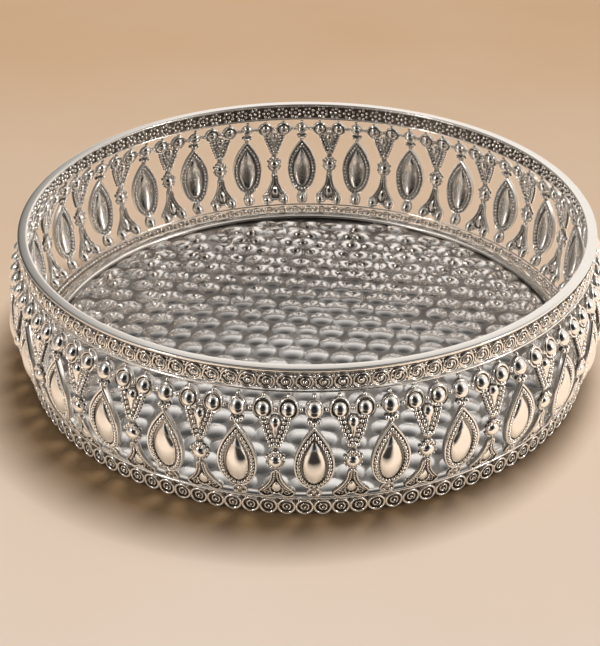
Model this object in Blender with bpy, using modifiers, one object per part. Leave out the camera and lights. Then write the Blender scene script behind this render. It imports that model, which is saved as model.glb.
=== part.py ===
"""Round openwork metal tray: a hammered plate held in a belly-shaped wall of cast drops and Y motifs.

Run with blender --background --python part.py, or from Blender's text editor.
Metres, +Z up. The origin is on the table, under the tray's centre.
The wall is built flat, along the tray's girth and height, and then bent round the belly.
"""

import math

import bmesh
import bpy
from mathutils import Matrix, Vector

# Clearance between pieces that touch
SEAT_GAP = 0.0003

# Points nearer than this are one point
MERGE_DISTANCE = 0.000001

# Facets round a full turned ring
TURN_STEPS = 40

# Rim: a flattened half-round strip on top of the wall, whose radius drives the whole tray's girth
RIM_RADIUS = 0.1454
RIM_WIDTH = 0.0050
RIM_THICKNESS = 0.0022
RIM_SIDE_HEIGHT = 0.0012
RIM_SHOULDER = 0.0012

# Upper band: a strip with a row of curls, set back under the rim's edge
UPPER_BAND_SETBACK = 0.0008
UPPER_BAND_HEIGHT = 0.0076
UPPER_BAND_THICKNESS = 0.0014
UPPER_BAND_SEGMENTS = 8
CURLS_PER_SEGMENT = 14
CURL_RELIEF = 0.0009

# Wires above and below the wall
WIRE_DIAMETER = 0.0013

# Openwork wall, cast in like units: from a neck under the rim's edge it swells to a belly and draws in
REPEATS = 28
WALL_HEIGHT = 0.0552
NECK_SETBACK = 0.0002
BELLY_SWELL = 0.0060
FOOT_DRAW_IN = 0.0057
BELLY_HEIGHT = 0.0272
CAST_THICKNESS = 0.0018

# Domes along the top of each unit, the necks that carry them and the links between them
DOME_DIAMETER = 0.0080
DOME_RISE = 0.0020
RINGED_DOME_DIAMETER = 0.0096
RINGED_DOME_RISE = 0.0016
POST_HEIGHT = 0.0014
POST_WIDTH = 0.0022
LINK_HEIGHT = 0.0022

# Drop: a pointed oval, drawn in more sharply at its tip than at its foot
DROP_STEPS = 4
DROP_TIP_SHARPNESS = 2.0
DROP_FOOT_SHARPNESS = 0.9
DROP_WIDTH = 0.0178
DROP_TIP_WIDTH = 0.0014
DROP_BORDER_WIDTH = 0.0038
DROP_BORDER_DEPTH = 0.0008
DROP_CENTRE_RISE = 0.0028
HANGER_HEIGHT = 0.0038
LOOP_WIDTH = 0.0068
LOOP_HEIGHT = 0.0068
LOOP_FOOT_WIDTH = 0.0040
LOOP_TOP_WIDTH = 0.0020

# Y motif
ARM_WIDTH = 0.0034
JUNCTION_DROP = 0.0158
JUNCTION_WIDTH = 0.0050
JUNCTION_NOTCH = 0.0010
SMALL_DROP_WIDTH = 0.0052
SMALL_DROP_HEIGHT = 0.0116
SMALL_DROP_TIP = 0.0007
SMALL_DROP_RISE = 0.0012
BALL_DIAMETER = 0.0068
BALL_RISE = 0.0024
NECK_WIDTH = 0.0032
FOOT_HEIGHT = 0.0212
FOOT_WIDTH = 0.0168
FOOT_CORNER_HEIGHT = 0.0040
FOOT_CORNER_RUN = 0.0014
FOOT_WAIST_WIDTH = 0.0088
FOOT_WAIST_HEIGHT = 0.0116
FOOT_NOTCH_WIDTH = 0.0076
FOOT_NOTCH = 0.0030

# Lower band: a row of open rings under the wall's foot, which the tray stands on
LOWER_RING_HEIGHT = 0.0082
LOWER_RING_WIRE = 0.0014
LOWER_RING_THICKNESS = 0.0016
LOWER_RING_SIDES = 8
LOWER_BAND_SEGMENTS = 14
RINGS_PER_SEGMENT = 8

# Hammered plate, hung under a polished collar that fits inside the lower band
PLATE_LIFT = 0.0025
PLATE_THICKNESS = 0.0010
PLATE_INSET = 0.0014
COLLAR_WIDTH = 0.0080
COLLAR_HEIGHT = 0.0030
COLLAR_SHOULDER = 0.0020
COLLAR_BEVEL = 0.0008

# Radii, from the rim's
UPPER_BAND_RADIUS = RIM_RADIUS - UPPER_BAND_SETBACK
NECK_RADIUS = RIM_RADIUS - NECK_SETBACK
BELLY_RADIUS = NECK_RADIUS + BELLY_SWELL
FOOT_RADIUS = BELLY_RADIUS - FOOT_DRAW_IN

# Levels, from the table up
COLLAR_BOTTOM = PLATE_LIFT + PLATE_THICKNESS + SEAT_GAP
LOWER_WIRE_CENTRE = LOWER_RING_HEIGHT + SEAT_GAP + WIRE_DIAMETER / 2
WALL_BOTTOM = LOWER_WIRE_CENTRE + WIRE_DIAMETER / 2 + SEAT_GAP
WALL_TOP = WALL_BOTTOM + WALL_HEIGHT
UPPER_WIRE_CENTRE = WALL_TOP + SEAT_GAP + WIRE_DIAMETER / 2
UPPER_BAND_BOTTOM = UPPER_WIRE_CENTRE + WIRE_DIAMETER / 2 + SEAT_GAP
RIM_BOTTOM = UPPER_BAND_BOTTOM + UPPER_BAND_HEIGHT + SEAT_GAP

# Places along one unit, which holds a drop at 0 and a Y motif half a pitch away
UNIT_PITCH = math.tau * BELLY_RADIUS / REPEATS
DOME_SPACING = UNIT_PITCH / 3
DOME_LEVEL = WALL_HEIGHT - POST_HEIGHT - RINGED_DOME_DIAMETER / 2

# Finishes read from the photograph: colour, roughness, metallic
FINISHES = {
    "polished_silver": ((0.83, 0.82, 0.81, 1.0), 0.12, 1.0),
    "cast_silver": ((0.66, 0.64, 0.61, 1.0), 0.24, 1.0),
    "antiqued_silver": ((0.50, 0.48, 0.46, 1.0), 0.32, 1.0),
    "hammered_silver": ((0.60, 0.60, 0.60, 1.0), 0.20, 1.0),
}


def clear_scene():
    for thing in list(bpy.data.objects):
        bpy.data.objects.remove(thing, do_unlink=True)


def collection_named(name):
    collection = bpy.data.collections.new(name)
    bpy.context.scene.collection.children.link(collection)
    return collection


def material_for(part_name, finish):
    colour, roughness, metallic = FINISHES[finish]
    material = bpy.data.materials.new(f"{part_name}_{finish}")
    material.use_nodes = True
    shader = material.node_tree.nodes["Principled BSDF"]
    shader.inputs["Base Color"].default_value = colour
    shader.inputs["Roughness"].default_value = roughness
    shader.inputs["Metallic"].default_value = metallic
    return material


def face_outward(shape):
    bmesh.ops.recalc_face_normals(shape, faces=shape.faces)
    if shape.calc_volume(signed=True) < 0:
        bmesh.ops.reverse_faces(shape, faces=shape.faces)


def object_from_bmesh(shape, name, collection):
    face_outward(shape)
    mesh = bpy.data.meshes.new(name)
    shape.to_mesh(mesh)
    shape.free()
    made = bpy.data.objects.new(name, mesh)
    collection.objects.link(made)
    return made


def wall_radius(height):
    """Radius of the wall's middle surface at a height above the table, widest at the belly."""
    above_belly = height - WALL_BOTTOM - BELLY_HEIGHT
    if above_belly > 0:
        return BELLY_RADIUS - BELLY_SWELL * (above_belly / (WALL_HEIGHT - BELLY_HEIGHT)) ** 2
    return BELLY_RADIUS - FOOT_DRAW_IN * (above_belly / BELLY_HEIGHT) ** 2


def bend(shape, radius_at, bottom, girth_radius):
    """Carries a flat shape (along the girth, up, outward) to the wall, with its start at the front."""
    for vertex in shape.verts:
        along, up, outward = vertex.co
        angle = along / girth_radius - math.pi / 2
        radius = radius_at(bottom + up) + outward
        vertex.co = (radius * math.cos(angle), radius * math.sin(angle), bottom + up)


# Turned rings


def turned_ring(name, profile, collection, finish):
    """A ring from a closed profile of (radius, height) points that runs down its outer side."""
    mesh = bpy.data.meshes.new(name)
    edges = [(i, (i + 1) % len(profile)) for i in range(len(profile))]
    mesh.from_pydata([(radius, 0.0, height) for radius, height in profile], edges, [])
    ring = bpy.data.objects.new(name, mesh)
    collection.objects.link(ring)
    screw = ring.modifiers.new("Turn", "SCREW")
    screw.axis = "Z"
    screw.angle = math.tau
    screw.steps = TURN_STEPS
    screw.render_steps = TURN_STEPS
    screw.use_merge_vertices = True
    screw.merge_threshold = MERGE_DISTANCE
    screw.use_smooth_shade = True
    mesh.materials.append(material_for(name, finish))
    return ring


def make_rim(collection):
    outer = RIM_RADIUS
    inner = RIM_RADIUS - RIM_WIDTH
    shoulder = RIM_BOTTOM + RIM_SIDE_HEIGHT
    top = RIM_BOTTOM + RIM_THICKNESS
    profile = [
        (outer - RIM_SHOULDER, top),
        (outer, shoulder),
        (outer, RIM_BOTTOM),
        (inner, RIM_BOTTOM),
        (inner, shoulder),
        (inner + RIM_SHOULDER, top),
    ]
    return turned_ring("rim", profile, collection, "polished_silver")


def make_wire(name, radius, centre, collection):
    """A square wire ring, which the ends of the wall's units seat on."""
    half = WIRE_DIAMETER / 2
    profile = [
        (radius + half, centre + half),
        (radius + half, centre - half),
        (radius - half, centre - half),
        (radius - half, centre + half),
    ]
    return turned_ring(name, profile, collection, "polished_silver")


def collar_radius():
    """Outer radius of the collar, which fits inside the lower band."""
    return FOOT_RADIUS - LOWER_RING_THICKNESS / 2 - SEAT_GAP


def make_collar(collection):
    """A flat-topped ring with a shoulder that runs down to the lower band."""
    outer = collar_radius()
    inner = outer - COLLAR_WIDTH
    top = COLLAR_BOTTOM + COLLAR_HEIGHT
    profile = [
        (outer - COLLAR_SHOULDER, top),
        (outer, top - COLLAR_BEVEL),
        (outer, COLLAR_BOTTOM),
        (inner, COLLAR_BOTTOM),
        (inner + COLLAR_BEVEL, top),
    ]
    return turned_ring("plate_collar", profile, collection, "polished_silver")


def make_plate(collection):
    """The sheet under the collar, its edge a little inside the collar's own."""
    radius = collar_radius() - PLATE_INSET
    shape = bmesh.new()
    bmesh.ops.create_cone(
        shape,
        cap_ends=True,
        segments=TURN_STEPS,
        radius1=radius,
        radius2=radius,
        depth=PLATE_THICKNESS,
    )
    bmesh.ops.translate(shape, verts=shape.verts, vec=(0, 0, PLATE_LIFT + PLATE_THICKNESS / 2))
    plate = object_from_bmesh(shape, "hammered_plate", collection)
    plate.data.materials.append(material_for("hammered_plate", "hammered_silver"))
    return plate


# One wall unit, drawn flat as cells that share their edges, as (along, up)


def add_cell(sheet, points, relief=""):
    """A flat cell of the casting. Its relief says how its front is worked once the sheet is thick."""
    cell = sheet.faces.new([sheet.verts.new((x, y, 0)) for x, y in points])
    cell[sheet.faces.layers.string["relief"]] = relief.encode()


def flat_side(diameter, flat):
    """How far a flat of a given length lies from the middle of a round cell."""
    return math.sqrt((diameter / 2) ** 2 - (flat / 2) ** 2)


def mirrored(right_side, middle):
    """A closed outline from the points of its right side, bottom to top, about a vertical middle line."""
    right = [(middle + x, y) for x, y in right_side]
    left = [(middle - x, y) for x, y in reversed(right_side) if x > 0]
    return right + left


def dome_cell(sheet, middle, diameter, bottom_flat, relief):
    """A round cell with flats at its sides and foot, and its top drawn up to the post."""
    side = flat_side(diameter, LINK_HEIGHT)
    right_side = [
        (bottom_flat / 2, DOME_LEVEL - flat_side(diameter, bottom_flat)),
        (side, DOME_LEVEL - LINK_HEIGHT / 2),
        (side, DOME_LEVEL + LINK_HEIGHT / 2),
        (POST_WIDTH / 2, WALL_HEIGHT),
    ]
    add_cell(sheet, mirrored(right_side, middle), relief)


def link_cell(sheet, start, end):
    low = DOME_LEVEL - LINK_HEIGHT / 2
    high = DOME_LEVEL + LINK_HEIGHT / 2
    add_cell(sheet, [(start, low), (end, low), (end, high), (start, high)])


def draw_domes(sheet):
    """A plain dome over the drop and two ringed domes over the Y motif, linked side by side."""
    plain_side = flat_side(DOME_DIAMETER, LINK_HEIGHT)
    ringed_side = flat_side(RINGED_DOME_DIAMETER, LINK_HEIGHT)
    dome_cell(sheet, 0, DOME_DIAMETER, LINK_HEIGHT, "dome")
    link_cell(sheet, plain_side, DOME_SPACING - ringed_side)
    dome_cell(sheet, DOME_SPACING, RINGED_DOME_DIAMETER, ARM_WIDTH, "ringed dome")
    link_cell(sheet, DOME_SPACING + ringed_side, 2 * DOME_SPACING - ringed_side)
    dome_cell(sheet, 2 * DOME_SPACING, RINGED_DOME_DIAMETER, ARM_WIDTH, "ringed dome")
    link_cell(sheet, 2 * DOME_SPACING + ringed_side, UNIT_PITCH - plain_side - SEAT_GAP)


def draw_drop(sheet):
    """The drop hangs from its dome and stands on a small loop."""
    dome_foot = DOME_LEVEL - flat_side(DOME_DIAMETER, LINK_HEIGHT)
    top = dome_foot - HANGER_HEIGHT
    bottom = LOOP_HEIGHT
    middle = (top + bottom) / 2
    hanger = [(DROP_TIP_WIDTH / 2, top), (LINK_HEIGHT / 2, dome_foot)]
    add_cell(sheet, mirrored(hanger, 0))
    right_side = [(LOOP_TOP_WIDTH / 2, bottom)]
    for step in range(1, DROP_STEPS):
        turn = math.pi * (1 - step / DROP_STEPS)
        sharpness = DROP_TIP_SHARPNESS if math.cos(turn) > 0 else DROP_FOOT_SHARPNESS
        half_width = DROP_WIDTH / 2 * math.sin(turn) ** sharpness
        right_side.append((half_width, middle + (top - bottom) / 2 * math.cos(turn)))
    right_side.append((DROP_TIP_WIDTH / 2, top))
    add_cell(sheet, mirrored(right_side, 0), "drop")
    loop = [
        (LOOP_FOOT_WIDTH / 2, 0),
        (LOOP_WIDTH / 2, LOOP_HEIGHT / 2),
        (LOOP_TOP_WIDTH / 2, bottom),
    ]
    add_cell(sheet, mirrored(loop, 0))


def draw_y(sheet):
    """Two arms that meet above a ball on a flared foot, with a small drop between them."""
    middle = UNIT_PITCH / 2
    dome_foot = DOME_LEVEL - flat_side(RINGED_DOME_DIAMETER, ARM_WIDTH)
    junction = DOME_LEVEL - JUNCTION_DROP
    crotch = junction + JUNCTION_NOTCH
    ball_top = FOOT_HEIGHT + BALL_DIAMETER
    for side in (-1, 1):
        outer = side * (DOME_SPACING / 2 + ARM_WIDTH / 2)
        inner = side * (DOME_SPACING / 2 - ARM_WIDTH / 2)
        arm = [
            (middle + outer, dome_foot),
            (middle + inner, dome_foot),
            (middle + side * SMALL_DROP_TIP / 2, crotch),
            (middle + side * JUNCTION_WIDTH / 2, junction),
        ]
        add_cell(sheet, arm[:: side])
    small_drop = [
        (SMALL_DROP_TIP / 2, crotch),
        (SMALL_DROP_WIDTH / 2, crotch + SMALL_DROP_HEIGHT - SMALL_DROP_WIDTH / 2),
        (SMALL_DROP_WIDTH / 4, crotch + SMALL_DROP_HEIGHT),
    ]
    add_cell(sheet, mirrored(small_drop, middle), "small drop")
    joint = [
        (NECK_WIDTH / 2, ball_top),
        (JUNCTION_WIDTH / 2, junction),
        (SMALL_DROP_TIP / 2, crotch),
    ]
    add_cell(sheet, mirrored(joint, middle))
    ball = [
        (NECK_WIDTH / 2, FOOT_HEIGHT),
        (BALL_DIAMETER / 2, FOOT_HEIGHT + BALL_DIAMETER / 2),
        (NECK_WIDTH / 2, ball_top),
    ]
    add_cell(sheet, mirrored(ball, middle), "ball")
    foot = [
        (0, FOOT_NOTCH),
        (FOOT_NOTCH_WIDTH / 2, 0),
        (FOOT_WIDTH / 2 - FOOT_CORNER_RUN, 0),
        (FOOT_WIDTH / 2, FOOT_CORNER_HEIGHT),
        (FOOT_WAIST_WIDTH / 2, FOOT_WAIST_HEIGHT),
        (NECK_WIDTH / 2, FOOT_HEIGHT),
    ]
    add_cell(sheet, mirrored(foot, middle))


# How the front of each cell is worked: the width and depth of its border, then the rise of its middle
RELIEFS = {
    "dome": (0, 0, DOME_RISE),
    "ringed dome": (0, 0, RINGED_DOME_RISE),
    "drop": (DROP_BORDER_WIDTH, DROP_BORDER_DEPTH, DROP_CENTRE_RISE),
    "small drop": (0, 0, SMALL_DROP_RISE),
    "ball": (0, 0, BALL_RISE),
}


def sink_border(sheet, face, width, depth):
    """Draws a like outline inside a front face, a border's width in at its ends and sides, and sinks it."""
    bmesh.ops.inset_region(sheet, faces=[face], thickness=0)
    xs = [vertex.co.x for vertex in face.verts]
    ys = [vertex.co.y for vertex in face.verts]
    centre = Vector(((min(xs) + max(xs)) / 2, (min(ys) + max(ys)) / 2, 0))
    shrink = (1 - 2 * width / (max(xs) - min(xs)), 1 - 2 * width / (max(ys) - min(ys)), 1)
    bmesh.ops.scale(sheet, vec=shrink, verts=face.verts, space=Matrix.Translation(-centre))
    bmesh.ops.translate(sheet, verts=face.verts, vec=(0, 0, -depth))


def work_front(sheet, face, border_width, border_depth, rise):
    if border_width:
        sink_border(sheet, face, border_width, border_depth)
    middle = bmesh.ops.poke(sheet, faces=[face])["verts"]
    bmesh.ops.translate(sheet, verts=middle, vec=(0, 0, rise))


def cast_unit():
    """The flat unit as one closed mesh: the cells welded, thickened, and their fronts worked."""
    sheet = bmesh.new()
    sheet.faces.layers.string.new("relief")
    draw_domes(sheet)
    draw_drop(sheet)
    draw_y(sheet)
    bmesh.ops.remove_doubles(sheet, verts=sheet.verts, dist=MERGE_DISTANCE)
    bmesh.ops.translate(sheet, verts=sheet.verts, vec=(0, 0, -CAST_THICKNESS / 2))
    lifted = bmesh.ops.extrude_face_region(sheet, geom=list(sheet.faces))["geom"]
    raised = [item for item in lifted if isinstance(item, bmesh.types.BMVert)]
    bmesh.ops.translate(sheet, verts=raised, vec=(0, 0, CAST_THICKNESS))
    fronts = [item for item in lifted if isinstance(item, bmesh.types.BMFace)]
    layer = sheet.faces.layers.string["relief"]
    for face in fronts:
        name = face[layer].decode()
        if name:
            work_front(sheet, face, *RELIEFS[name])
    mesh = bpy.data.meshes.new("wall_unit")
    sheet.to_mesh(mesh)
    sheet.free()
    return mesh


def bent_mesh(mesh, radius_at, bottom, girth_radius):
    shape = bmesh.new()
    shape.from_mesh(mesh)
    bmesh.ops.remove_doubles(shape, verts=shape.verts, dist=MERGE_DISTANCE)
    bmesh.ops.triangulate(shape, faces=shape.faces)
    bend(shape, radius_at, bottom, girth_radius)
    face_outward(shape)
    shape.to_mesh(mesh)
    shape.free()
    return mesh


def place_round(mesh, name, count, collection):
    """Like copies of a mesh, each its own object, turned about the tray's axis."""
    made = []
    for index in range(count):
        copy = bpy.data.objects.new(f"{name}_{index + 1:02d}", mesh)
        copy.rotation_euler.z = math.tau * index / count
        collection.objects.link(copy)
        made.append(copy)
    return made


def make_wall(collection):
    mesh = cast_unit()
    bent_mesh(mesh, wall_radius, WALL_BOTTOM, BELLY_RADIUS)
    mesh.materials.append(material_for("wall_unit", "cast_silver"))
    return place_round(mesh, "wall_unit", REPEATS, collection)


def make_upper_band(collection):
    """Strips that close into a ring, each with a row of raised curls."""
    length = math.tau * UPPER_BAND_RADIUS / UPPER_BAND_SEGMENTS - SEAT_GAP
    shape = bmesh.new()
    bmesh.ops.create_grid(shape, x_segments=CURLS_PER_SEGMENT, y_segments=1, size=0.5)
    bmesh.ops.scale(shape, verts=shape.verts, vec=(length, UPPER_BAND_HEIGHT, 1))
    start = (length / 2, UPPER_BAND_HEIGHT / 2, -UPPER_BAND_THICKNESS / 2)
    bmesh.ops.translate(shape, verts=shape.verts, vec=start)
    fronts = bmesh.ops.extrude_face_region(shape, geom=list(shape.faces))["geom"]
    raised = [item for item in fronts if isinstance(item, bmesh.types.BMVert)]
    bmesh.ops.translate(shape, verts=raised, vec=(0, 0, UPPER_BAND_THICKNESS))
    front_faces = [item for item in fronts if isinstance(item, bmesh.types.BMFace)]
    middles = bmesh.ops.poke(shape, faces=front_faces)["verts"]
    bmesh.ops.translate(shape, verts=middles, vec=(0, 0, CURL_RELIEF))
    mesh = bpy.data.meshes.new("upper_band")
    shape.to_mesh(mesh)
    shape.free()
    bent_mesh(mesh, lambda height: UPPER_BAND_RADIUS, UPPER_BAND_BOTTOM, UPPER_BAND_RADIUS)
    mesh.materials.append(material_for("upper_band", "antiqued_silver"))
    return place_round(mesh, "upper_band_strip", UPPER_BAND_SEGMENTS, collection)


def disc_outline(across_flats, sides):
    """Points of a regular polygon with level top and bottom flats."""
    corner = across_flats / 2 / math.cos(math.pi / sides)
    turns = [math.tau * (side + 0.5) / sides for side in range(sides)]
    return [(corner * math.sin(turn), corner * math.cos(turn)) for turn in turns]


def ring_of_wire(width, height):
    """An open ring, flat outside and drawn to an edge towards its hole, standing in the wall's plane."""
    shape = bmesh.new()
    half = LOWER_RING_THICKNESS / 2
    hole_width = width - 2 * LOWER_RING_WIRE
    hole_height = height - 2 * LOWER_RING_WIRE
    rows = []
    for x, y in disc_outline(1.0, LOWER_RING_SIDES):
        back = shape.verts.new((x * width, y * height, -half))
        front = shape.verts.new((x * width, y * height, half))
        inside = shape.verts.new((x * hole_width, y * hole_height, 0))
        rows.append((back, front, inside))
    for index, row in enumerate(rows):
        after = rows[(index + 1) % len(rows)]
        for corner in range(3):
            following = (corner + 1) % 3
            shape.faces.new((row[corner], row[following], after[following], after[corner]))
    return shape


def make_lower_band(collection):
    """Chains of open rings joined at their side flats, standing on their bottom flats."""
    length = math.tau * FOOT_RADIUS / LOWER_BAND_SEGMENTS - SEAT_GAP
    width = length / RINGS_PER_SEGMENT
    chain = bmesh.new()
    ring = ring_of_wire(width, LOWER_RING_HEIGHT)
    mesh = bpy.data.meshes.new("lower_band")
    ring.to_mesh(mesh)
    ring.free()
    for index in range(RINGS_PER_SEGMENT):
        before = len(chain.verts)
        chain.from_mesh(mesh)
        chain.verts.ensure_lookup_table()
        added = chain.verts[before:]
        bmesh.ops.translate(chain, verts=added, vec=(width * (index + 0.5), LOWER_RING_HEIGHT / 2, 0))
    seams = [width * index for index in range(1, RINGS_PER_SEGMENT)]
    shared = [
        face
        for face in chain.faces
        if any(all(abs(v.co.x - seam) < MERGE_DISTANCE for v in face.verts) for seam in seams)
    ]
    bmesh.ops.delete(chain, geom=shared, context="FACES_ONLY")
    bmesh.ops.remove_doubles(chain, verts=chain.verts, dist=MERGE_DISTANCE)
    chain.to_mesh(mesh)
    chain.free()
    bent_mesh(mesh, lambda height: FOOT_RADIUS, 0.0, FOOT_RADIUS)
    mesh.materials.append(material_for("lower_band", "antiqued_silver"))
    return place_round(mesh, "lower_band_strip", LOWER_BAND_SEGMENTS, collection)


def main():
    clear_scene()
    tray = collection_named("decorative_tray")
    make_rim(tray)
    make_upper_band(tray)
    make_wire("upper_wire", NECK_RADIUS, UPPER_WIRE_CENTRE, tray)
    make_wall(tray)
    make_wire("lower_wire", FOOT_RADIUS, LOWER_WIRE_CENTRE, tray)
    make_collar(tray)
    make_plate(tray)
    make_lower_band(tray)


main()
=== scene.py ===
"""Studio look for the decorative tray: silver castings, beads and curls dressed round its solids.

Metres, +Z up, with the table at zero under the tray's centre. The wall's ornament is drawn flat, along the
tray's girth, up and outward, then bent round the belly and repeated about the axis.
"""

import math

import bmesh
import bpy
from mathutils import Matrix, Vector


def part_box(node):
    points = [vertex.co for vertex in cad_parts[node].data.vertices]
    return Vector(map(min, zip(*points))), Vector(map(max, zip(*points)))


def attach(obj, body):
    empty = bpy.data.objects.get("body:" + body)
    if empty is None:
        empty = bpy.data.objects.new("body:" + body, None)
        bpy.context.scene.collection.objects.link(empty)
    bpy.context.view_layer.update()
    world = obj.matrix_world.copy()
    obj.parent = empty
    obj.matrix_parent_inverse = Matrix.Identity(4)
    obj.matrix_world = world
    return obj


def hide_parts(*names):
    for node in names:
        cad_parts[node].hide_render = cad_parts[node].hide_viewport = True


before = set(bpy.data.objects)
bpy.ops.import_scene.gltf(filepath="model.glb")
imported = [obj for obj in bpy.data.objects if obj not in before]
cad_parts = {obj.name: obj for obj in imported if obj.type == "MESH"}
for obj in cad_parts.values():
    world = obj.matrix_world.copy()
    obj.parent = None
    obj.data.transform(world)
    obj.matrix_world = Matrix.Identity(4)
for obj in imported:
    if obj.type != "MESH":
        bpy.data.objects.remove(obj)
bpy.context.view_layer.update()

bl_info = {
    "name": "Decorative Tray Look",
    "version": (1, 0, 0),
    "blender": (4, 5, 0),
    "location": "View3D > Sidebar > Tray",
    "description": "Dresses a silver openwork tray piece by piece",
    "category": "Object",
}

MM = 0.001
# Points nearer to each other than this are one
SAME_PLACE = 1e-7


def nodes_named(start):
    return sorted(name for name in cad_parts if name.startswith(start))


# What the solids give
WALL_NODES = nodes_named("wall_unit_")
UPPER_BAND_NODES = nodes_named("upper_band_strip_")
LOWER_BAND_NODES = nodes_named("lower_band_strip_")
WALL_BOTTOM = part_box(WALL_NODES[0])[0].z
WALL_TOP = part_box(WALL_NODES[0])[1].z
WALL_HEIGHT = WALL_TOP - WALL_BOTTOM
WIRE_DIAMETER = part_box("upper_wire")[1].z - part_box("upper_wire")[0].z
NECK_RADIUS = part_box("upper_wire")[1].x - WIRE_DIAMETER / 2
FOOT_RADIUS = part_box("lower_wire")[1].x - WIRE_DIAMETER / 2
REPEATS = len(WALL_NODES)


class TrayShape(bpy.types.PropertyGroup):
    """Sizes of the tray's ornament"""

    belly_swell: bpy.props.FloatProperty(
        name="Belly Swell", description="How far the wall swells out from its neck",
        default=6.0 * MM, subtype="DISTANCE", unit="LENGTH", precision=4,
    )
    foot_draw_in: bpy.props.FloatProperty(
        name="Foot Draw-in", description="How far the wall draws in again from its belly to its foot",
        default=5.7 * MM, subtype="DISTANCE", unit="LENGTH", precision=4,
    )
    belly_height: bpy.props.FloatProperty(
        name="Belly Height", description="Height of the widest line above the wall's foot",
        default=27.2 * MM, subtype="DISTANCE", unit="LENGTH", precision=4,
    )
    drop_bead: bpy.props.FloatProperty(
        name="Drop Bead", description="Diameter of the beads round each drop",
        default=2.0 * MM, subtype="DISTANCE", unit="LENGTH", precision=4,
    )
    arm_bead: bpy.props.FloatProperty(
        name="Arm Bead", description="Diameter of the beads along the arms of each Y motif",
        default=1.85 * MM, subtype="DISTANCE", unit="LENGTH", precision=4,
    )
    curls: bpy.props.IntProperty(
        name="Curls", description="Curls round the upper band, and rings round the lower band",
        default=112, min=3,
    )
    bump_pitch: bpy.props.FloatProperty(
        name="Bump Pitch", description="Distance between hammered bumps along a row",
        default=13.4 * MM, subtype="DISTANCE", unit="LENGTH", precision=4,
    )
    bump_row: bpy.props.FloatProperty(
        name="Bump Row", description="Distance between rows of hammered bumps",
        default=12.2 * MM, subtype="DISTANCE", unit="LENGTH", precision=4,
    )
    bump_rise: bpy.props.FloatProperty(
        name="Bump Rise", description="Height of a hammered bump over the sheet",
        default=0.67 * MM, subtype="DISTANCE", unit="LENGTH", precision=4,
    )
    bump_seed: bpy.props.IntProperty(
        name="Bump Seed", description="Fixes how the hammered bumps are scattered", default=5,
    )


class TrayFinish(bpy.types.PropertyGroup):
    """Colours and polish of the tray and of its studio"""

    silver: bpy.props.FloatVectorProperty(
        name="Silver", description="Colour of the polished metal",
        default=(0.94, 0.898, 0.85), size=3, min=0.0, max=1.0, subtype="COLOR",
    )
    plate: bpy.props.FloatVectorProperty(
        name="Plate", description="Colour of the hammered plate's metal",
        default=(0.90, 0.875, 0.855), size=3, min=0.0, max=1.0, subtype="COLOR",
    )
    tarnish: bpy.props.FloatVectorProperty(
        name="Tarnish", description="Colour of the darkened metal in the recesses",
        default=(0.14, 0.11, 0.085), size=3, min=0.0, max=1.0, subtype="COLOR",
    )
    polish: bpy.props.FloatProperty(
        name="Polish", description="Roughness of the most polished metal",
        default=0.08, min=0.0, max=1.0, subtype="FACTOR",
    )
    floor: bpy.props.FloatVectorProperty(
        name="Floor", description="Colour of the studio floor",
        default=(0.80, 0.672, 0.565), size=3, min=0.0, max=1.0, subtype="COLOR",
    )
    backdrop: bpy.props.FloatVectorProperty(
        name="Backdrop", description="Colour that shows behind the floor and in the metal",
        default=(0.96, 0.93, 0.89), size=3, min=0.0, max=1.0, subtype="COLOR",
    )


# Node trees


def socket_named(sockets, key):
    if isinstance(key, int):
        return sockets[key]
    return next(socket for socket in sockets if socket.name == key and socket.enabled)


def add_node(tree, kind, sources=None, **settings):
    """A node with its settings, and its inputs fed by values or by other nodes' outputs."""
    made = tree.nodes.new(kind)
    for name, value in settings.items():
        setattr(made, name, value)
    for key, source in (sources or {}).items():
        socket = socket_named(made.inputs, key)
        if isinstance(source, bpy.types.NodeSocket):
            tree.links.new(source, socket)
        else:
            socket.default_value = source
    return made


def math_node(tree, operation, first, second=0.0):
    return add_node(tree, "ShaderNodeMath", {0: first, 1: second}, operation=operation).outputs[0]


def map_node(tree, value, from_low, from_high, to_low, to_high):
    sources = {
        "Value": value,
        "From Min": from_low,
        "From Max": from_high,
        "To Min": to_low,
        "To Max": to_high,
    }
    return add_node(tree, "ShaderNodeMapRange", sources, clamp=True).outputs[0]


def vector_node(tree, operation, sources):
    """Vector arithmetic, which gives a vector, or a number for a length or a dot product."""
    made = add_node(tree, "ShaderNodeVectorMath", sources, operation=operation)
    return made.outputs["Value" if operation in ("LENGTH", "DOT_PRODUCT") else "Vector"]


def mix_node(tree, share, first, second):
    """A colour that goes from the first to the second with the share."""
    sources = {"Factor": share, "A": first, "B": second}
    mixed = add_node(tree, "ShaderNodeMix", sources, data_type="RGBA")
    return socket_named(mixed.outputs, "Result")


def start_tree(name, inputs):
    """A Geometry Nodes tree whose sizes are named inputs, and its input node."""
    tree = bpy.data.node_groups.new(name, "GeometryNodeTree")
    tree.is_modifier = True
    tree.interface.new_socket("Geometry", in_out="INPUT", socket_type="NodeSocketGeometry")
    for label, kind in inputs:
        tree.interface.new_socket(label, in_out="INPUT", socket_type=kind)
    tree.interface.new_socket("Material", in_out="INPUT", socket_type="NodeSocketMaterial")
    tree.interface.new_socket("Geometry", in_out="OUTPUT", socket_type="NodeSocketGeometry")
    return tree, tree.nodes.new("NodeGroupInput")


def end_tree(tree, start, geometry):
    real = add_node(tree, "GeometryNodeRealizeInstances", {"Geometry": geometry})
    sources = {"Geometry": real.outputs[0], "Material": start.outputs["Material"]}
    painted = add_node(tree, "GeometryNodeSetMaterial", sources)
    add_node(tree, "NodeGroupOutput", {0: painted.outputs[0]})
    return tree


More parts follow.
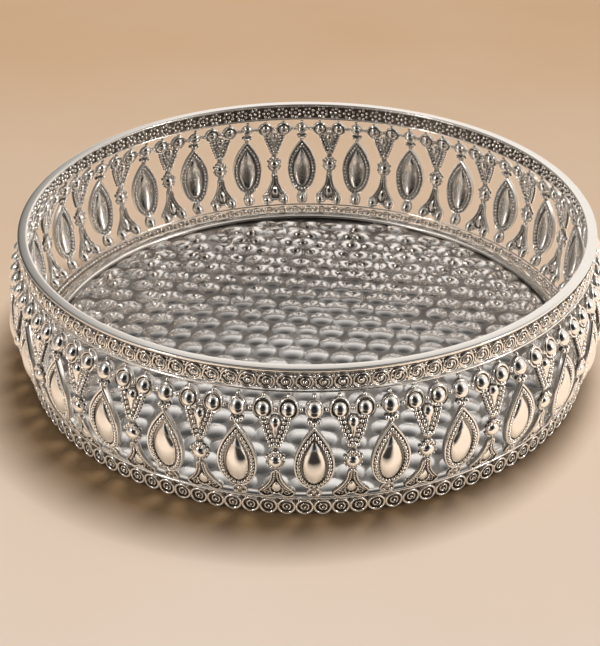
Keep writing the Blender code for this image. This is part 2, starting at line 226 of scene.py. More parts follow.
def store_tarnish_and_shade(tree, geometry, value):
    """Stores how dark each point is made: as deep as it lies in the hollows, where tarnish gathers, and as
    painted shade on parts that lie in shadow.
    """
    sources = {"Geometry": geometry, "Name": "recess", "Value": value}
    stored = add_node(tree, "GeometryNodeStoreNamedAttribute", sources, data_type="FLOAT", domain="POINT")
    return stored.outputs[0]


def facing_recess(tree, geometry):
    """Counts what turns away from the front as lying in a hollow."""
    normal = add_node(tree, "GeometryNodeInputNormal")
    parts = add_node(tree, "ShaderNodeSeparateXYZ", {0: normal.outputs[0]})
    return store_tarnish_and_shade(tree, geometry, map_node(tree, parts.outputs["Z"], -0.55, 0.15, 1.0, 0.0))


def beads_on(tree, start, points):
    """Balls on points, with two more facets round them than up them."""
    radius = math_node(tree, "DIVIDE", start.outputs["Bead Diameter"], 2.0)
    rings = start.outputs["Facets"]
    segments = math_node(tree, "ADD", rings, 2.0)
    sources = {"Segments": segments, "Rings": rings, "Radius": radius}
    ball = add_node(tree, "GeometryNodeMeshUVSphere", sources)
    shaded = facing_recess(tree, ball.outputs["Mesh"])
    sources = {"Points": points, "Instance": shaded}
    return add_node(tree, "GeometryNodeInstanceOnPoints", sources).outputs[0]


def row_tree():
    """Beads set along the edges of a flat drawing."""
    inputs = [
        ("Bead Diameter", "NodeSocketFloat"),
        ("Bead Pitch", "NodeSocketFloat"),
        ("Facets", "NodeSocketInt"),
    ]
    tree, start = start_tree("Beads along rows", inputs)
    rows = add_node(tree, "GeometryNodeMeshToCurve", {"Mesh": start.outputs["Geometry"]})
    sources = {"Curve": rows.outputs[0], "Length": start.outputs["Bead Pitch"]}
    spaced = add_node(tree, "GeometryNodeResampleCurve", sources, mode="LENGTH")
    return end_tree(tree, start, beads_on(tree, start, spaced.outputs[0]))


def bead_tree():
    """Single beads set on the points of a flat drawing."""
    inputs = [("Bead Diameter", "NodeSocketFloat"), ("Facets", "NodeSocketInt")]
    tree, start = start_tree("Beads at points", inputs)
    return end_tree(tree, start, beads_on(tree, start, start.outputs["Geometry"]))


def wire_tree():
    """Round wire drawn along the edges of a flat drawing."""
    inputs = [("Wire Diameter", "NodeSocketFloat"), ("Sides", "NodeSocketInt")]
    tree, start = start_tree("Wire along path", inputs)
    path = add_node(tree, "GeometryNodeMeshToCurve", {"Mesh": start.outputs["Geometry"]})
    radius = math_node(tree, "DIVIDE", start.outputs["Wire Diameter"], 2.0)
    sources = {"Resolution": start.outputs["Sides"], "Radius": radius}
    section = add_node(tree, "GeometryNodeCurvePrimitiveCircle", sources, mode="RADIUS")
    sources = {"Curve": path.outputs[0], "Profile Curve": section.outputs[0], "Fill Caps": True}
    wire = add_node(tree, "GeometryNodeCurveToMesh", sources)
    return end_tree(tree, start, facing_recess(tree, wire.outputs[0]))


def repeat_tree():
    """Like copies of a piece, turned evenly about the tray's axis."""
    tree, start = start_tree("Repeat round the axis", [("Count", "NodeSocketInt")])
    points = add_node(tree, "GeometryNodePoints", {"Count": start.outputs["Count"]})
    index = add_node(tree, "GeometryNodeInputIndex")
    step = math_node(tree, "DIVIDE", math.tau, start.outputs["Count"])
    turn = math_node(tree, "MULTIPLY", index.outputs[0], step)
    euler = add_node(tree, "ShaderNodeCombineXYZ", {"Z": turn})
    rotation = add_node(tree, "FunctionNodeEulerToRotation", {0: euler.outputs[0]})
    sources = {
        "Points": points.outputs[0],
        "Instance": start.outputs["Geometry"],
        "Rotation": rotation.outputs[0],
    }
    copies = add_node(tree, "GeometryNodeInstanceOnPoints", sources)
    return end_tree(tree, start, copies.outputs[0])


# The plate's bumps: marks along each side of their grid, smallest and largest size, their radius as a part
# of the pitch, and how far up a bump the tarnish of the hollows reaches and how dark it is
MARKS_ACROSS = 26
BUMP_SIZES = (0.86, 1.06)
BUMP_RADIUS = 0.50
HOLLOW_REACH = 0.14
HOLLOW_RECESS = 0.58


def hammer_marks(tree, start, place):
    """Points in jittered rows within reach of the middle, each second row shifted by half a pitch."""
    pitch = start.outputs["Bump Pitch"]
    row = start.outputs["Bump Row"]
    sources = {
        "Size X": math_node(tree, "MULTIPLY", pitch, MARKS_ACROSS - 1.0),
        "Size Y": math_node(tree, "MULTIPLY", row, MARKS_ACROSS - 1.0),
        "Vertices X": MARKS_ACROSS,
        "Vertices Y": MARKS_ACROSS,
    }
    grid = add_node(tree, "GeometryNodeMeshGrid", sources)
    parts = add_node(tree, "ShaderNodeSeparateXYZ", {0: place})
    row_number = math_node(tree, "ROUND", math_node(tree, "DIVIDE", parts.outputs["Y"], row))
    odd = math_node(tree, "MODULO", math_node(tree, "ABSOLUTE", row_number), 2.0)
    shift = math_node(tree, "MULTIPLY", odd, math_node(tree, "MULTIPLY", pitch, 0.5))
    brick = add_node(tree, "ShaderNodeCombineXYZ", {"X": shift})
    low = vector_node(tree, "SCALE", {0: (-1, -1, 0), "Scale": start.outputs["Jitter"]})
    high = vector_node(tree, "SCALE", {0: (1, 1, 0), "Scale": start.outputs["Jitter"]})
    sources = {"Min": low, "Max": high, "Seed": start.outputs["Seed"]}
    stray = add_node(tree, "FunctionNodeRandomValue", sources, data_type="FLOAT_VECTOR")
    moved = vector_node(tree, "ADD", {0: brick.outputs[0], 1: stray.outputs[0]})
    struck = add_node(tree, "GeometryNodeSetPosition", {"Geometry": grid.outputs["Mesh"], "Offset": moved})
    turn = add_node(tree, "ShaderNodeCombineXYZ", {"Z": start.outputs["Row Turn"]})
    sources = {"Geometry": struck.outputs[0], "Rotation": turn.outputs[0]}
    rotated = add_node(tree, "GeometryNodeTransform", sources)
    from_middle = vector_node(tree, "LENGTH", {0: place})
    outside = math_node(tree, "GREATER_THAN", from_middle, start.outputs["Reach"])
    sources = {"Geometry": rotated.outputs[0], "Selection": outside}
    return add_node(tree, "GeometryNodeDeleteGeometry", sources, domain="POINT").outputs[0]


def bump_fall(tree, start, marks):
    """One on top of the nearest mark's bump, zero at its edge and less outside it."""
    seed = math_node(tree, "ADD", start.outputs["Seed"], 1.0)
    sources = {"Min": BUMP_SIZES[0], "Max": BUMP_SIZES[1], "Seed": seed}
    size = add_node(tree, "FunctionNodeRandomValue", sources, data_type="FLOAT")
    nearest = add_node(tree, "GeometryNodeSampleNearest", {"Geometry": marks})
    sources = {
        "Geometry": marks,
        "Value": socket_named(size.outputs, "Value"),
        "Index": nearest.outputs[0],
    }
    own_size = add_node(tree, "GeometryNodeSampleIndex", sources, data_type="FLOAT")
    near = add_node(tree, "GeometryNodeProximity", {0: marks}, target_element="POINTS")
    widest = math_node(tree, "MULTIPLY", start.outputs["Bump Pitch"], BUMP_RADIUS)
    radius = math_node(tree, "MULTIPLY", socket_named(own_size.outputs, "Value"), widest)
    share = math_node(tree, "DIVIDE", near.outputs["Distance"], radius)
    return math_node(tree, "SUBTRACT", 1.0, math_node(tree, "POWER", share, 2.0))


def hammer_tree():
    """Round bumps of uneven size raised out of a sheet, with tarnish in the hollows between them."""
    inputs = [
        ("Bump Pitch", "NodeSocketFloat"),
        ("Bump Row", "NodeSocketFloat"),
        ("Bump Rise", "NodeSocketFloat"),
        ("Row Turn", "NodeSocketFloat"),
        ("Jitter", "NodeSocketFloat"),
        ("Reach", "NodeSocketFloat"),
        ("Seed", "NodeSocketInt"),
    ]
    tree, start = start_tree("Hammered bumps", inputs)
    place = add_node(tree, "GeometryNodeInputPosition").outputs[0]
    fall = bump_fall(tree, start, hammer_marks(tree, start, place))
    crown = math_node(tree, "MAXIMUM", fall, 0.0)
    height = math_node(tree, "MULTIPLY", crown, start.outputs["Bump Rise"])
    lift = add_node(tree, "ShaderNodeCombineXYZ", {"Z": height})
    sources = {"Geometry": start.outputs["Geometry"], "Offset": lift.outputs[0]}
    bumped = add_node(tree, "GeometryNodeSetPosition", sources)
    hollow = map_node(tree, fall, 0.0, HOLLOW_REACH, HOLLOW_RECESS, 0.0)
    return end_tree(tree, start, store_tarnish_and_shade(tree, bumped.outputs[0], hollow))


def tree_named(name):
    makers = {
        "Beads along rows": row_tree,
        "Beads at points": bead_tree,
        "Wire along path": wire_tree,
        "Repeat round the axis": repeat_tree,
        "Hammered bumps": hammer_tree,
    }
    return bpy.data.node_groups.get(name) or makers[name]()


def grow(mesh, tree_name, values, material):
    """The plain mesh that a node tree makes from a mesh."""
    source = bpy.data.objects.new("source", mesh)
    bpy.context.scene.collection.objects.link(source)
    modifier = source.modifiers.new("Nodes", "NODES")
    modifier.node_group = tree_named(tree_name)
    values = values | {"Material": material}
    for item in modifier.node_group.interface.items_tree:
        if item.item_type == "SOCKET" and item.in_out == "INPUT" and item.name in values:
            modifier[item.identifier] = values[item.name]
    depsgraph = bpy.context.evaluated_depsgraph_get()
    evaluated = source.evaluated_get(depsgraph)
    made = bpy.data.meshes.new_from_object(evaluated, preserve_all_data_layers=True, depsgraph=depsgraph)
    source.modifiers.remove(modifier)
    bpy.data.objects.remove(source)
    bpy.data.meshes.remove(mesh)
    return made


# Flat drawings: (along, up) points, and meshes of them with how deep each point lies in a recess


def new_shape():
    shape = bmesh.new()
    shape.verts.layers.float.new("recess")
    return shape


def mesh_of(shape, name):
    bmesh.ops.recalc_face_normals(shape, faces=shape.faces)
    mesh = bpy.data.meshes.new(name)
    shape.to_mesh(mesh)
    shape.free()
    return mesh


def add_point(shape, place, recess):
    point = shape.verts.new(place)
    point[shape.verts.layers.float["recess"]] = recess
    return point


def absorb(shape, mesh):
    """Adds a mesh and its recesses to a shape."""
    recess = mesh.attributes.get("recess")
    depths = [item.value for item in recess.data] if recess else [0.0] * len(mesh.vertices)
    added = [add_point(shape, vertex.co, depth) for vertex, depth in zip(mesh.vertices, depths)]
    for polygon in mesh.polygons:
        shape.faces.new([added[corner] for corner in polygon.vertices])
    bpy.data.meshes.remove(mesh)


def add_ring(shape, points, level, recess):
    return [add_point(shape, (x, y, level), recess) for x, y in points]


def skin(shape, lower, upper):
    for index in range(len(lower)):
        after = (index + 1) % len(lower)
        shape.faces.new((lower[index], lower[after], upper[after], upper[index]))


def close_ring(shape, ring, place, recess):
    """A fan from a ring to a point."""
    tip = add_point(shape, place, recess)
    for index, vertex in enumerate(ring):
        shape.faces.new((vertex, ring[(index + 1) % len(ring)], tip))


def carve(shape, outline_at, steps, top):
    """A closed casting from steps of (inset or size, level, recess), from its back to its top."""
    rings = [add_ring(shape, outline_at(inset), level, recess) for inset, level, recess in steps]
    for lower, upper in zip(rings, rings[1:]):
        skin(shape, lower, upper)
    for ring, level, recess in ((rings[0], *steps[0][1:]), (rings[-1], top, steps[-1][2])):
        middle = sum((vertex.co for vertex in ring), Vector()) / len(ring)
        close_ring(shape, ring, (middle.x, middle.y, level), recess)


def mirrored(right_side, middle):
    """A closed outline from the points of its right side, bottom to top, about a vertical middle line."""
    right = [(middle + x, y) for x, y in right_side]
    left = [(middle - x, y) for x, y in reversed(right_side) if x > SAME_PLACE]
    return right + left


def round_outline(x, y, diameter, count):
    turns = [math.tau * step / count for step in range(count)]
    return [(x + diameter / 2 * math.cos(t), y + diameter / 2 * math.sin(t)) for t in turns]


def drop_side(foot, tip, width, count, waist=0.44):
    """The right side of a pointed oval: an elliptical foot, then sides that draw in to a tip."""
    right_side = []
    for step in range(count + 1):
        share = (1 - math.cos(math.pi * step / count)) / 2
        if share < waist:
            half = math.sqrt(max(0.0, 1 - ((waist - share) / waist) ** 2))
        else:
            half = 1 - ((share - waist) / (1 - waist)) ** 1.9
        right_side.append((max(0.0, half) * width / 2, foot + (tip - foot) * share))
    return right_side


def drop_outline(middle, foot, tip, width, count, waist=0.44):
    """The outline of a pointed oval. A tip below the foot hangs down."""
    return mirrored(drop_side(foot, tip, width, count, waist), middle)


def smooth_side(corners, count):
    """Points spaced evenly by their parameter on a smooth curve through corners."""
    points = []
    spans = len(corners) - 1
    for step in range(count + 1):
        place = step / count * spans
        span = min(int(place), spans - 1)
        t = place - span
        before = Vector(corners[max(span - 1, 0)])
        start = Vector(corners[span])
        end = Vector(corners[span + 1])
        after = Vector(corners[min(span + 2, spans)])
        point = 0.5 * (
            2 * start
            + (end - before) * t
            + (2 * before - 5 * start + 4 * end - after) * t**2
            + (3 * start - before - 3 * end + after) * t**3
        )
        points.append(tuple(point))
    return points


def inset_outline(points, inset, middle):
    """An outline moved inward by a distance, with neither half crossing the middle line."""
    count = len(points)
    moved = []
    for index, point in enumerate(points):
        before = Vector(points[index - 1])
        after = Vector(points[(index + 1) % count])
        along = (after - before).normalized()
        x = point[0] - along.y * inset
        y = point[1] + along.x * inset
        offset = point[0] - middle
        if abs(offset) < SAME_PLACE:
            x = middle
        elif offset > 0:
            x = max(x, middle + 0.1 * MM)
        else:
            x = min(x, middle - 0.1 * MM)
        moved.append((x, y))
    return moved


def add_cabochon(shape, place, diameter, sides, base, rise, rings):
    """A polished round dome, from a skirt under its base up to its top."""
    steps = [(1.0, base - 0.4 * MM, 0.6)]
    for ring in range(rings):
        angle = math.pi / 2 * ring / rings
        steps.append((math.cos(angle), base + rise * math.sin(angle), 0.5 if ring == 0 else 0.0))
    carve(shape, lambda size: round_outline(*place, diameter * size, sides), steps, base + rise)


def add_pod(shape, sections, middle, base, rise, columns):
    """A polished body over sections of (half width, height), rounded across and lower where narrow."""
    widest = max(half for half, y in sections)
    rings = []
    for half, y in sections[1:-1]:
        crown = rise * (half / widest) ** 0.8
        ring = []
        for column in range(columns + 1):
            angle = math.pi * column / columns
            place = (middle - half * math.cos(angle), y, base + crown * math.sin(angle))
            ring.append(add_point(shape, place, 0.5 if column in (0, columns) else 0.0))
        rings.append(ring)
    for lower, upper in zip(rings, rings[1:]):
        skin(shape, lower, upper)
    for ring, (half, y) in ((rings[0], sections[0]), (rings[-1], sections[-1])):
        close_ring(shape, ring, (middle, y, base), 0.5)


def rows_mesh(rows):
    """Edges along rows of (x, y, level) points. A row that ends where it starts is closed."""
    vertices = []
    edges = []
    for row in rows:
        joined = (Vector(row[0]) - Vector(row[-1])).length < SAME_PLACE
        points = row[:-1] if joined else row
        start = len(vertices)
        vertices.extend(points)
        edges.extend((start + step, start + step + 1) for step in range(len(points) - 1))
        if joined:
            edges.append((start + len(points) - 1, start))
    mesh = bpy.data.meshes.new("rows")
    mesh.from_pydata(vertices, edges, [])
    return mesh


def at_level(points, level):
    return [(x, y, level) for x, y in points]


def closed(points):
    return points + points[:1]


def arc_places(x, y, radius, angles, level):
    """Points round a middle at angles in degrees."""
    turns = [math.radians(angle) for angle in angles]
    return [(x + radius * math.cos(turn), y + radius * math.sin(turn), level) for turn in turns]


def spiral_path(x, y, start, step, radii, level, side=1):
    """Points at the radii, from a start on by a step in degrees. A side of -1 mirrors the path."""
    path = []
    for index, radius in enumerate(radii):
        turn = math.radians(start + step * index)
        path.append((x + side * radius * math.cos(turn), y + radius * math.sin(turn), level))
    return path


def add_rows(shape, rows, diameter, pitch, material, facets=6):
    """Beads along rows of (x, y, level) points, a pitch apart."""
    values = {"Bead Diameter": diameter, "Bead Pitch": pitch, "Facets": facets}
    absorb(shape, grow(rows_mesh(rows), "Beads along rows", values, material))


def add_beads(shape, places, diameter, material, facets=6):
    """Single beads at (x, y, level) points."""
    mesh = bpy.data.meshes.new("places")
    mesh.from_pydata(places, [], [])
    values = {"Bead Diameter": diameter, "Facets": facets}
    absorb(shape, grow(mesh, "Beads at points", values, material))


def add_wire(shape, path, diameter, sides, material):
    """Round wire along a path of (x, y, level) points."""
    values = {"Wire Diameter": diameter, "Sides": sides}
    absorb(shape, grow(rows_mesh([path]), "Wire along path", values, material))


# Bending and finishing


def wall_radius(height, shape):
    belly_radius = NECK_RADIUS + shape.belly_swell
    above = height - WALL_BOTTOM - shape.belly_height
    if above > 0:
        return belly_radius - shape.belly_swell * (above / (WALL_HEIGHT - shape.belly_height)) ** 2
    return belly_radius - shape.foot_draw_in * (above / shape.belly_height) ** 2


def bend(flat, radius_at, bottom, girth_radius):
    """Carries a flat drawing (along the girth, up, outward) to the tray, with its start at the front."""
    for vertex in flat.verts:
        along, up, outward = vertex.co
        angle = along / girth_radius - math.pi / 2
        radius = radius_at(bottom + up) + outward
        vertex.co = (radius * math.cos(angle), radius * math.sin(angle), bottom + up)


def smooth(mesh, crease):
    mesh.shade_smooth()
    mesh.set_sharp_from_angle(angle=math.radians(crease))


def keep(mesh, name, crease, replaced=()):
    """The finished piece: it rides on the tray, takes its finish from a slot and may stand for solids."""
    smooth(mesh, crease)
    if bpy.data.objects.get(name):
        raise RuntimeError(f"the piece {name} is made already")
    piece = bpy.data.objects.new(name, mesh)
    bpy.context.scene.collection.objects.link(piece)
    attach(piece, "root")
    if replaced:
        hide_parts(*replaced)
    return piece


def repeat(mesh, count, material):
    """Copies of a mesh all round the tray."""
    return grow(mesh, "Repeat round the axis", {"Count": count}, material)


def turned(profile, steps, material, name):
    """A ring turned from a closed profile of (radius, height, recess) points."""
    shape = new_shape()
    rings = [
        add_ring(shape, round_outline(0, 0, 2 * radius, steps), height, recess)
        for radius, height, recess in profile
    ]
    for index, ring in enumerate(rings):
        skin(shape, ring, rings[(index + 1) % len(rings)])
    mesh = mesh_of(shape, name)
    mesh.materials.append(material)
    return mesh


# Materials


def tarnish_group():
    """Colour, roughness and height of aged silver: darkened recesses and painted shade, mottled polish and
    fine grain.
    """
    name = "Silver Tarnish"
    if bpy.data.node_groups.get(name):
        return bpy.data.node_groups[name]
    tree = bpy.data.node_groups.new(name, "ShaderNodeTree")
    for label, kind in [
        ("Silver", "NodeSocketColor"),
        ("Tarnish", "NodeSocketColor"),
        ("Recess", "NodeSocketFloat"),
        ("Polish", "NodeSocketFloat"),
        ("Grain", "NodeSocketFloat"),
    ]:
        tree.interface.new_socket(label, in_out="INPUT", socket_type=kind)
    for label, kind in [
        ("Colour", "NodeSocketColor"),
        ("Roughness", "NodeSocketFloat"),
        ("Height", "NodeSocketFloat"),
    ]:
        tree.interface.new_socket(label, in_out="OUTPUT", socket_type=kind)
    start = tree.nodes.new("NodeGroupInput")
    here = add_node(tree, "ShaderNodeTexCoord").outputs["Object"]
    sources = {"Vector": here, "Scale": 90.0, "Detail": 3.0}
    cloud = add_node(tree, "ShaderNodeTexNoise", sources).outputs[0]
    sources = {"Vector": here, "Scale": start.outputs["Grain"], "Detail": 2.0}
    grain = add_node(tree, "ShaderNodeTexNoise", sources).outputs[0]
    mottle = map_node(tree, cloud, 0.35, 0.65, 0.0, 1.0)
    edge = math_node(tree, "ADD", start.outputs["Recess"], math_node(tree, "MULTIPLY", mottle, 0.12))
    dark = map_node(tree, edge, 0.14, 0.85, 0.0, 1.0)
    colour = mix_node(tree, dark, start.outputs["Silver"], start.outputs["Tarnish"])
    tarnished = math_node(tree, "MULTIPLY", dark, 0.28)
    clouded = math_node(tree, "MULTIPLY", mottle, 0.04)
    duller = math_node(tree, "ADD", tarnished, clouded)
    roughness = math_node(tree, "ADD", start.outputs["Polish"], duller)
    add_node(tree, "NodeGroupOutput", {0: colour, 1: roughness, 2: grain})
    return tree


def silver_material(name, silver, finish, polish, grain, bump, worn=0.0):
    """Aged silver of a colour, with its roughness where clean and the scale and strength of its grain.

    A worn sheet is that much rougher in its front half.
    """
    known = bpy.data.materials.get(name)
    if known:
        return known
    material = bpy.data.materials.new(name)
    material.use_nodes = True
    tree = material.node_tree
    shader = tree.nodes["Principled BSDF"]
    group = add_node(tree, "ShaderNodeGroup", node_tree=tarnish_group())
    recess = add_node(tree, "ShaderNodeAttribute", attribute_name="recess")
    group.inputs["Silver"].default_value = (*silver, 1.0)
    group.inputs["Tarnish"].default_value = (*finish.tarnish, 1.0)
    group.inputs["Polish"].default_value = polish
    group.inputs["Grain"].default_value = grain
    tree.links.new(recess.outputs["Fac"], group.inputs["Recess"])
    tree.links.new(group.outputs["Colour"], shader.inputs["Base Color"])
    tree.links.new(group.outputs["Roughness"], shader.inputs["Roughness"])
    sources = {"Height": group.outputs["Height"], "Strength": bump, "Distance": 0.0002}
    relief = add_node(tree, "ShaderNodeBump", sources)
    tree.links.new(relief.outputs["Normal"], shader.inputs["Normal"])
    shader.inputs["Metallic"].default_value = 1.0
    if worn:
        place = add_node(tree, "ShaderNodeTexCoord")
        parts = add_node(tree, "ShaderNodeSeparateXYZ", {0: place.outputs["Object"]})
        polish_here = map_node(tree, parts.outputs["Y"], -0.03, 0.06, polish + worn, polish)
        tree.links.new(polish_here, group.inputs["Polish"])
    return material


def polished_silver(finish):
    polish = finish.polish
    return silver_material("polished silver", finish.silver, finish, polish, grain=1400.0, bump=0.04)


def cast_silver(finish):
    polish = finish.polish + 0.06
    return silver_material("cast silver", finish.silver, finish, polish, grain=1800.0, bump=0.2)


def band_silver(finish):
    polish = finish.polish + 0.02
    return silver_material("band silver", finish.silver, finish, polish, grain=1800.0, bump=0.2)


def hammered_silver(finish):
    polish = finish.polish
    settings = {"grain": 260.0, "bump": 0.15, "worn": 0.08}
    return silver_material("hammered silver", finish.plate, finish, polish, **settings)


# The wall's ornament, drawn flat for one unit: a drop at 0 and a Y motif half a pitch away

# Heights are over the wall's foot, and a part with only its name is its diameter
DOME_LEVEL = 49.0 * MM
DOME = 8.1 * MM
RINGED_DOME = 9.6 * MM
BALL = 6.6 * MM
BALL_SEAT = 7.6 * MM
DROP_FOOT = 6.7 * MM
DROP_TIP = 41.5 * MM
DROP_WIDTH = 18.0 * MM
BALL_LEVEL = 23.6 * MM
# From bead to bead along a row, as a part of a bead
BEAD_SPACING = 1.02

# How each face is worked, from its edge inward: inset and level in millimetres, and recess
DROP_EDGE = [
    (0.0, 0.5, 0.5), (0.05, 1.15, 0.2), (0.22, 1.5, 0.0), (0.5, 1.6, 0.0), (0.8, 1.4, 0.0),
    (0.95, 1.0, 0.6), (1.05, 0.35, 0.9), (2.9, 0.35, 0.6), (4.0, 0.35, 0.6),
]
RING_EDGE = [
    (0.0, 0.5, 0.5), (0.0, 0.9, 0.1), (0.15, 1.25, 0.0), (0.5, 1.5, 0.0), (0.85, 1.3, 0.0),
    (1.1, 0.8, 0.6), (1.15, 0.4, 1.0),
]
SEAT_EDGE = [(0.0, 0.5, 0.6), (0.0, 0.8, 0.3), (0.15, 1.05, 0.0), (0.4, 1.1, 0.0), (0.6, 0.5, 0.9)]
FOOT_EDGE = [
    (0.0, 0.5, 0.6), (0.05, 0.9, 0.3), (0.2, 1.2, 0.0), (0.45, 1.28, 0.0), (0.7, 1.1, 0.0),
    (0.8, 0.2, 1.0),
]
PLATE_EDGE = [(0.0, 0.3, 0.6), (0.25, 0.55, 0.5)]


def both_faces(edge):
    """Steps for a casting whose back is worked like its front, from the back's middle to the front's."""
    front = [(inset * MM, level * MM, recess) for inset, level, recess in edge]
    return [(inset, -level, recess) for inset, level, recess in reversed(front)] + front


def drop_at(inset, steps=18):
    """The drop's outline moved inward, further at its narrow tip than elsewhere."""
    return drop_outline(0, DROP_FOOT + inset, DROP_TIP - 1.9 * inset, DROP_WIDTH - 2 * inset, steps)


def carve_both(shape, outline_at, edge):
    """A closed casting with both faces worked."""
    steps = both_faces(edge)
    carve(shape, outline_at, steps, steps[-1][1])


def carve_flat(shape, outline, middle, edge):
    """A casting of any outline, whose faces are flat inside their edges."""
    rings = []
    for inset, level, recess in both_faces(edge):
        rings.append(add_ring(shape, inset_outline(outline, inset, middle), level, recess))
    for lower, upper in zip(rings, rings[1:]):
        skin(shape, lower, upper)
    shape.faces.new(rings[0])
    shape.faces.new(rings[-1])


def rectangle(x0, x1, y0, y1):
    return [(x0, y0), (x1, y0), (x1, y1), (x0, y1)]


def arm_side(pitch, side, offset):
    """Points down one arm of the Y, a distance to the outer side of its middle."""
    middle = pitch / 2
    path = [(5.2, 45.2), (4.8, 43.2), (3.9, 40.3), (2.9, 37.4), (1.9, 34.8), (1.1, 32.6)]
    line = smooth_side([(x * MM, y * MM) for x, y in path], 14)
    points = []
    for index, (x, y) in enumerate(line):
        before = Vector(line[max(index - 1, 0)])
        after = Vector(line[min(index + 1, len(line) - 1)])
        along = (after - before).normalized()
        points.append((middle + side * (x - along.y * offset), y + along.x * offset))
    return points


def carve_arms(shape, pitch):
    """The strips that carry the rows of beads down to the junction."""
    for side in (-1, 1):
        outer = arm_side(pitch, side, 1.1 * MM)
        inner = arm_side(pitch, side, -1.1 * MM)
        outline = outer + inner[::-1]
        low = add_ring(shape, outline, -0.5 * MM, 0.7)
        high = add_ring(shape, outline, 0.5 * MM, 0.7)
        skin(shape, low, high)
        for ring in (low, high):
            for step in range(len(outer) - 1):
                shape.faces.new([ring[step], ring[step + 1], ring[-step - 2], ring[-step - 1]])


# The right side of the flared foot in millimetres, from its middle below up to its waist
FOOT_SIDE = [
    (0.0, 2.3), (1.2, 2.0), (2.6, 0.9), (4.4, 0.15), (6.2, 0.35), (7.7, 1.4), (8.4, 3.0),
    (7.9, 4.5), (6.4, 6.3), (4.6, 8.7), (3.2, 11.4), (2.4, 14.2), (2.0, 17.2), (0.0, 18.9),
]


def foot_outline(pitch):
    side = smooth_side([(x * MM, y * MM) for x, y in FOOT_SIDE], 44)
    side[0] = (0.0, side[0][1])
    side[-1] = (0.0, side[-1][1])
    return mirrored([(max(x, 0.0), y) for x, y in side], pitch / 2)


def loop_outline():
    """The loop under the drop, from the lower wire up to the drop's foot."""
    side = [(0.0, 0.05), (1.9, 0.1), (3.1, 1.6), (3.2, 3.2), (2.6, 5.0), (1.3, 6.4), (1.2, 8.0), (0.0, 8.2)]
    return mirrored([(x * MM, y * MM) for x, y in side], 0)


def carve_links(shape, pitch):
    """Bars between the domes, posts up to the wire and the drop's hanger."""
    spacing = pitch / 3
    spans = [
        (DOME / 2, spacing - RINGED_DOME / 2),
        (spacing + RINGED_DOME / 2, 2 * spacing - RINGED_DOME / 2),
        (2 * spacing + RINGED_DOME / 2, pitch - DOME / 2),
    ]
    for start, end in spans:
        outline = rectangle(start - 0.4 * MM, end + 0.4 * MM, DOME_LEVEL - 0.8 * MM, DOME_LEVEL + 0.8 * MM)
        carve_flat(shape, outline, (start + end) / 2, [(0.0, 0.5, 0.3), (0.2, 0.75, 0.1)])
    # The posts are dark all over: painted shade, for the shadow that the upper band casts on them
    for x, half in ((0, 0.9 * MM), (spacing, 0.8 * MM), (2 * spacing, 0.8 * MM)):
        outline = [
            (x - 0.6 * half, DOME_LEVEL + 3.2 * MM),
            (x + 0.6 * half, DOME_LEVEL + 3.2 * MM),
            (x + half, WALL_HEIGHT),
            (x - half, WALL_HEIGHT),
        ]
        carve_flat(shape, outline, x, [(0.0, 0.15, 0.7), (0.15, 0.3, 0.7)])
    outline = rectangle(-1.1 * MM, 1.1 * MM, 40.4 * MM, DOME_LEVEL - DOME / 2 + 0.6 * MM)
    carve_flat(shape, outline, 0, PLATE_EDGE)


def wall_casting(pitch):
    shape = new_shape()
    motif = pitch / 2
    carve_both(shape, drop_at, DROP_EDGE)
    for x, diameter, edge in (
        (0, DOME, SEAT_EDGE),
        (pitch / 3, RINGED_DOME, RING_EDGE),
        (2 * pitch / 3, RINGED_DOME, RING_EDGE),
    ):
        carve_both(shape, lambda inset: round_outline(x, DOME_LEVEL, diameter - 2 * inset, 28), edge)
    carve_arms(shape, pitch)
    carve_flat(shape, foot_outline(pitch), motif, FOOT_EDGE)
    carve_flat(shape, loop_outline(), 0, PLATE_EDGE)
    carve_flat(shape, round_outline(motif, BALL_LEVEL, BALL_SEAT, 24), motif, PLATE_EDGE)
    neck = rectangle(motif - 1.5 * MM, motif + 1.5 * MM, BALL_LEVEL + 3 * MM, 33.6 * MM)
    carve_flat(shape, neck, motif, PLATE_EDGE)
    waist = rectangle(motif - 1.6 * MM, motif + 1.6 * MM, 17.5 * MM, BALL_LEVEL - 2 * MM)
    carve_flat(shape, waist, motif, PLATE_EDGE)
    outline = drop_outline(motif, 46.0 * MM, 34.6 * MM, 5.6 * MM, 12, 0.26)
    carve_flat(shape, outline[::-1], motif, [(0.0, 0.5, 0.8), (0.25, 0.8, 0.4)])
    carve_links(shape, pitch)
    return shape


def add_back(shape):
    """Adds the same ornament to the wall's inner face."""
    layer = shape.verts.layers.float["recess"]
    faces = list(shape.faces)
    copies = {}
    for vertex in list(shape.verts):
        place = (vertex.co.x, vertex.co.y, -vertex.co.z)
        copies[vertex] = add_point(shape, place, vertex[layer])
    for face in faces:
        shape.faces.new([copies[vertex] for vertex in reversed(face.verts)])


def turn_over(shape):
    """Moves an ornament from the wall's outer face to its inner face."""
    for vertex in shape.verts:
        vertex.co.z = -vertex.co.z


def small_drop_side():
    """The drop between the arms: a round head and a tail that hangs down from it."""
    side = [
        (0.0, 46.2), (1.6, 45.7), (2.55, 44.3), (2.5, 42.7),
        (1.75, 41.0), (1.2, 39.3), (0.8, 37.2), (0.0, 35.2),
    ]
    points = smooth_side([(x * MM, y * MM) for x, y in side], 16)
    return [(max(x, 0.0), y) for x, y in points]


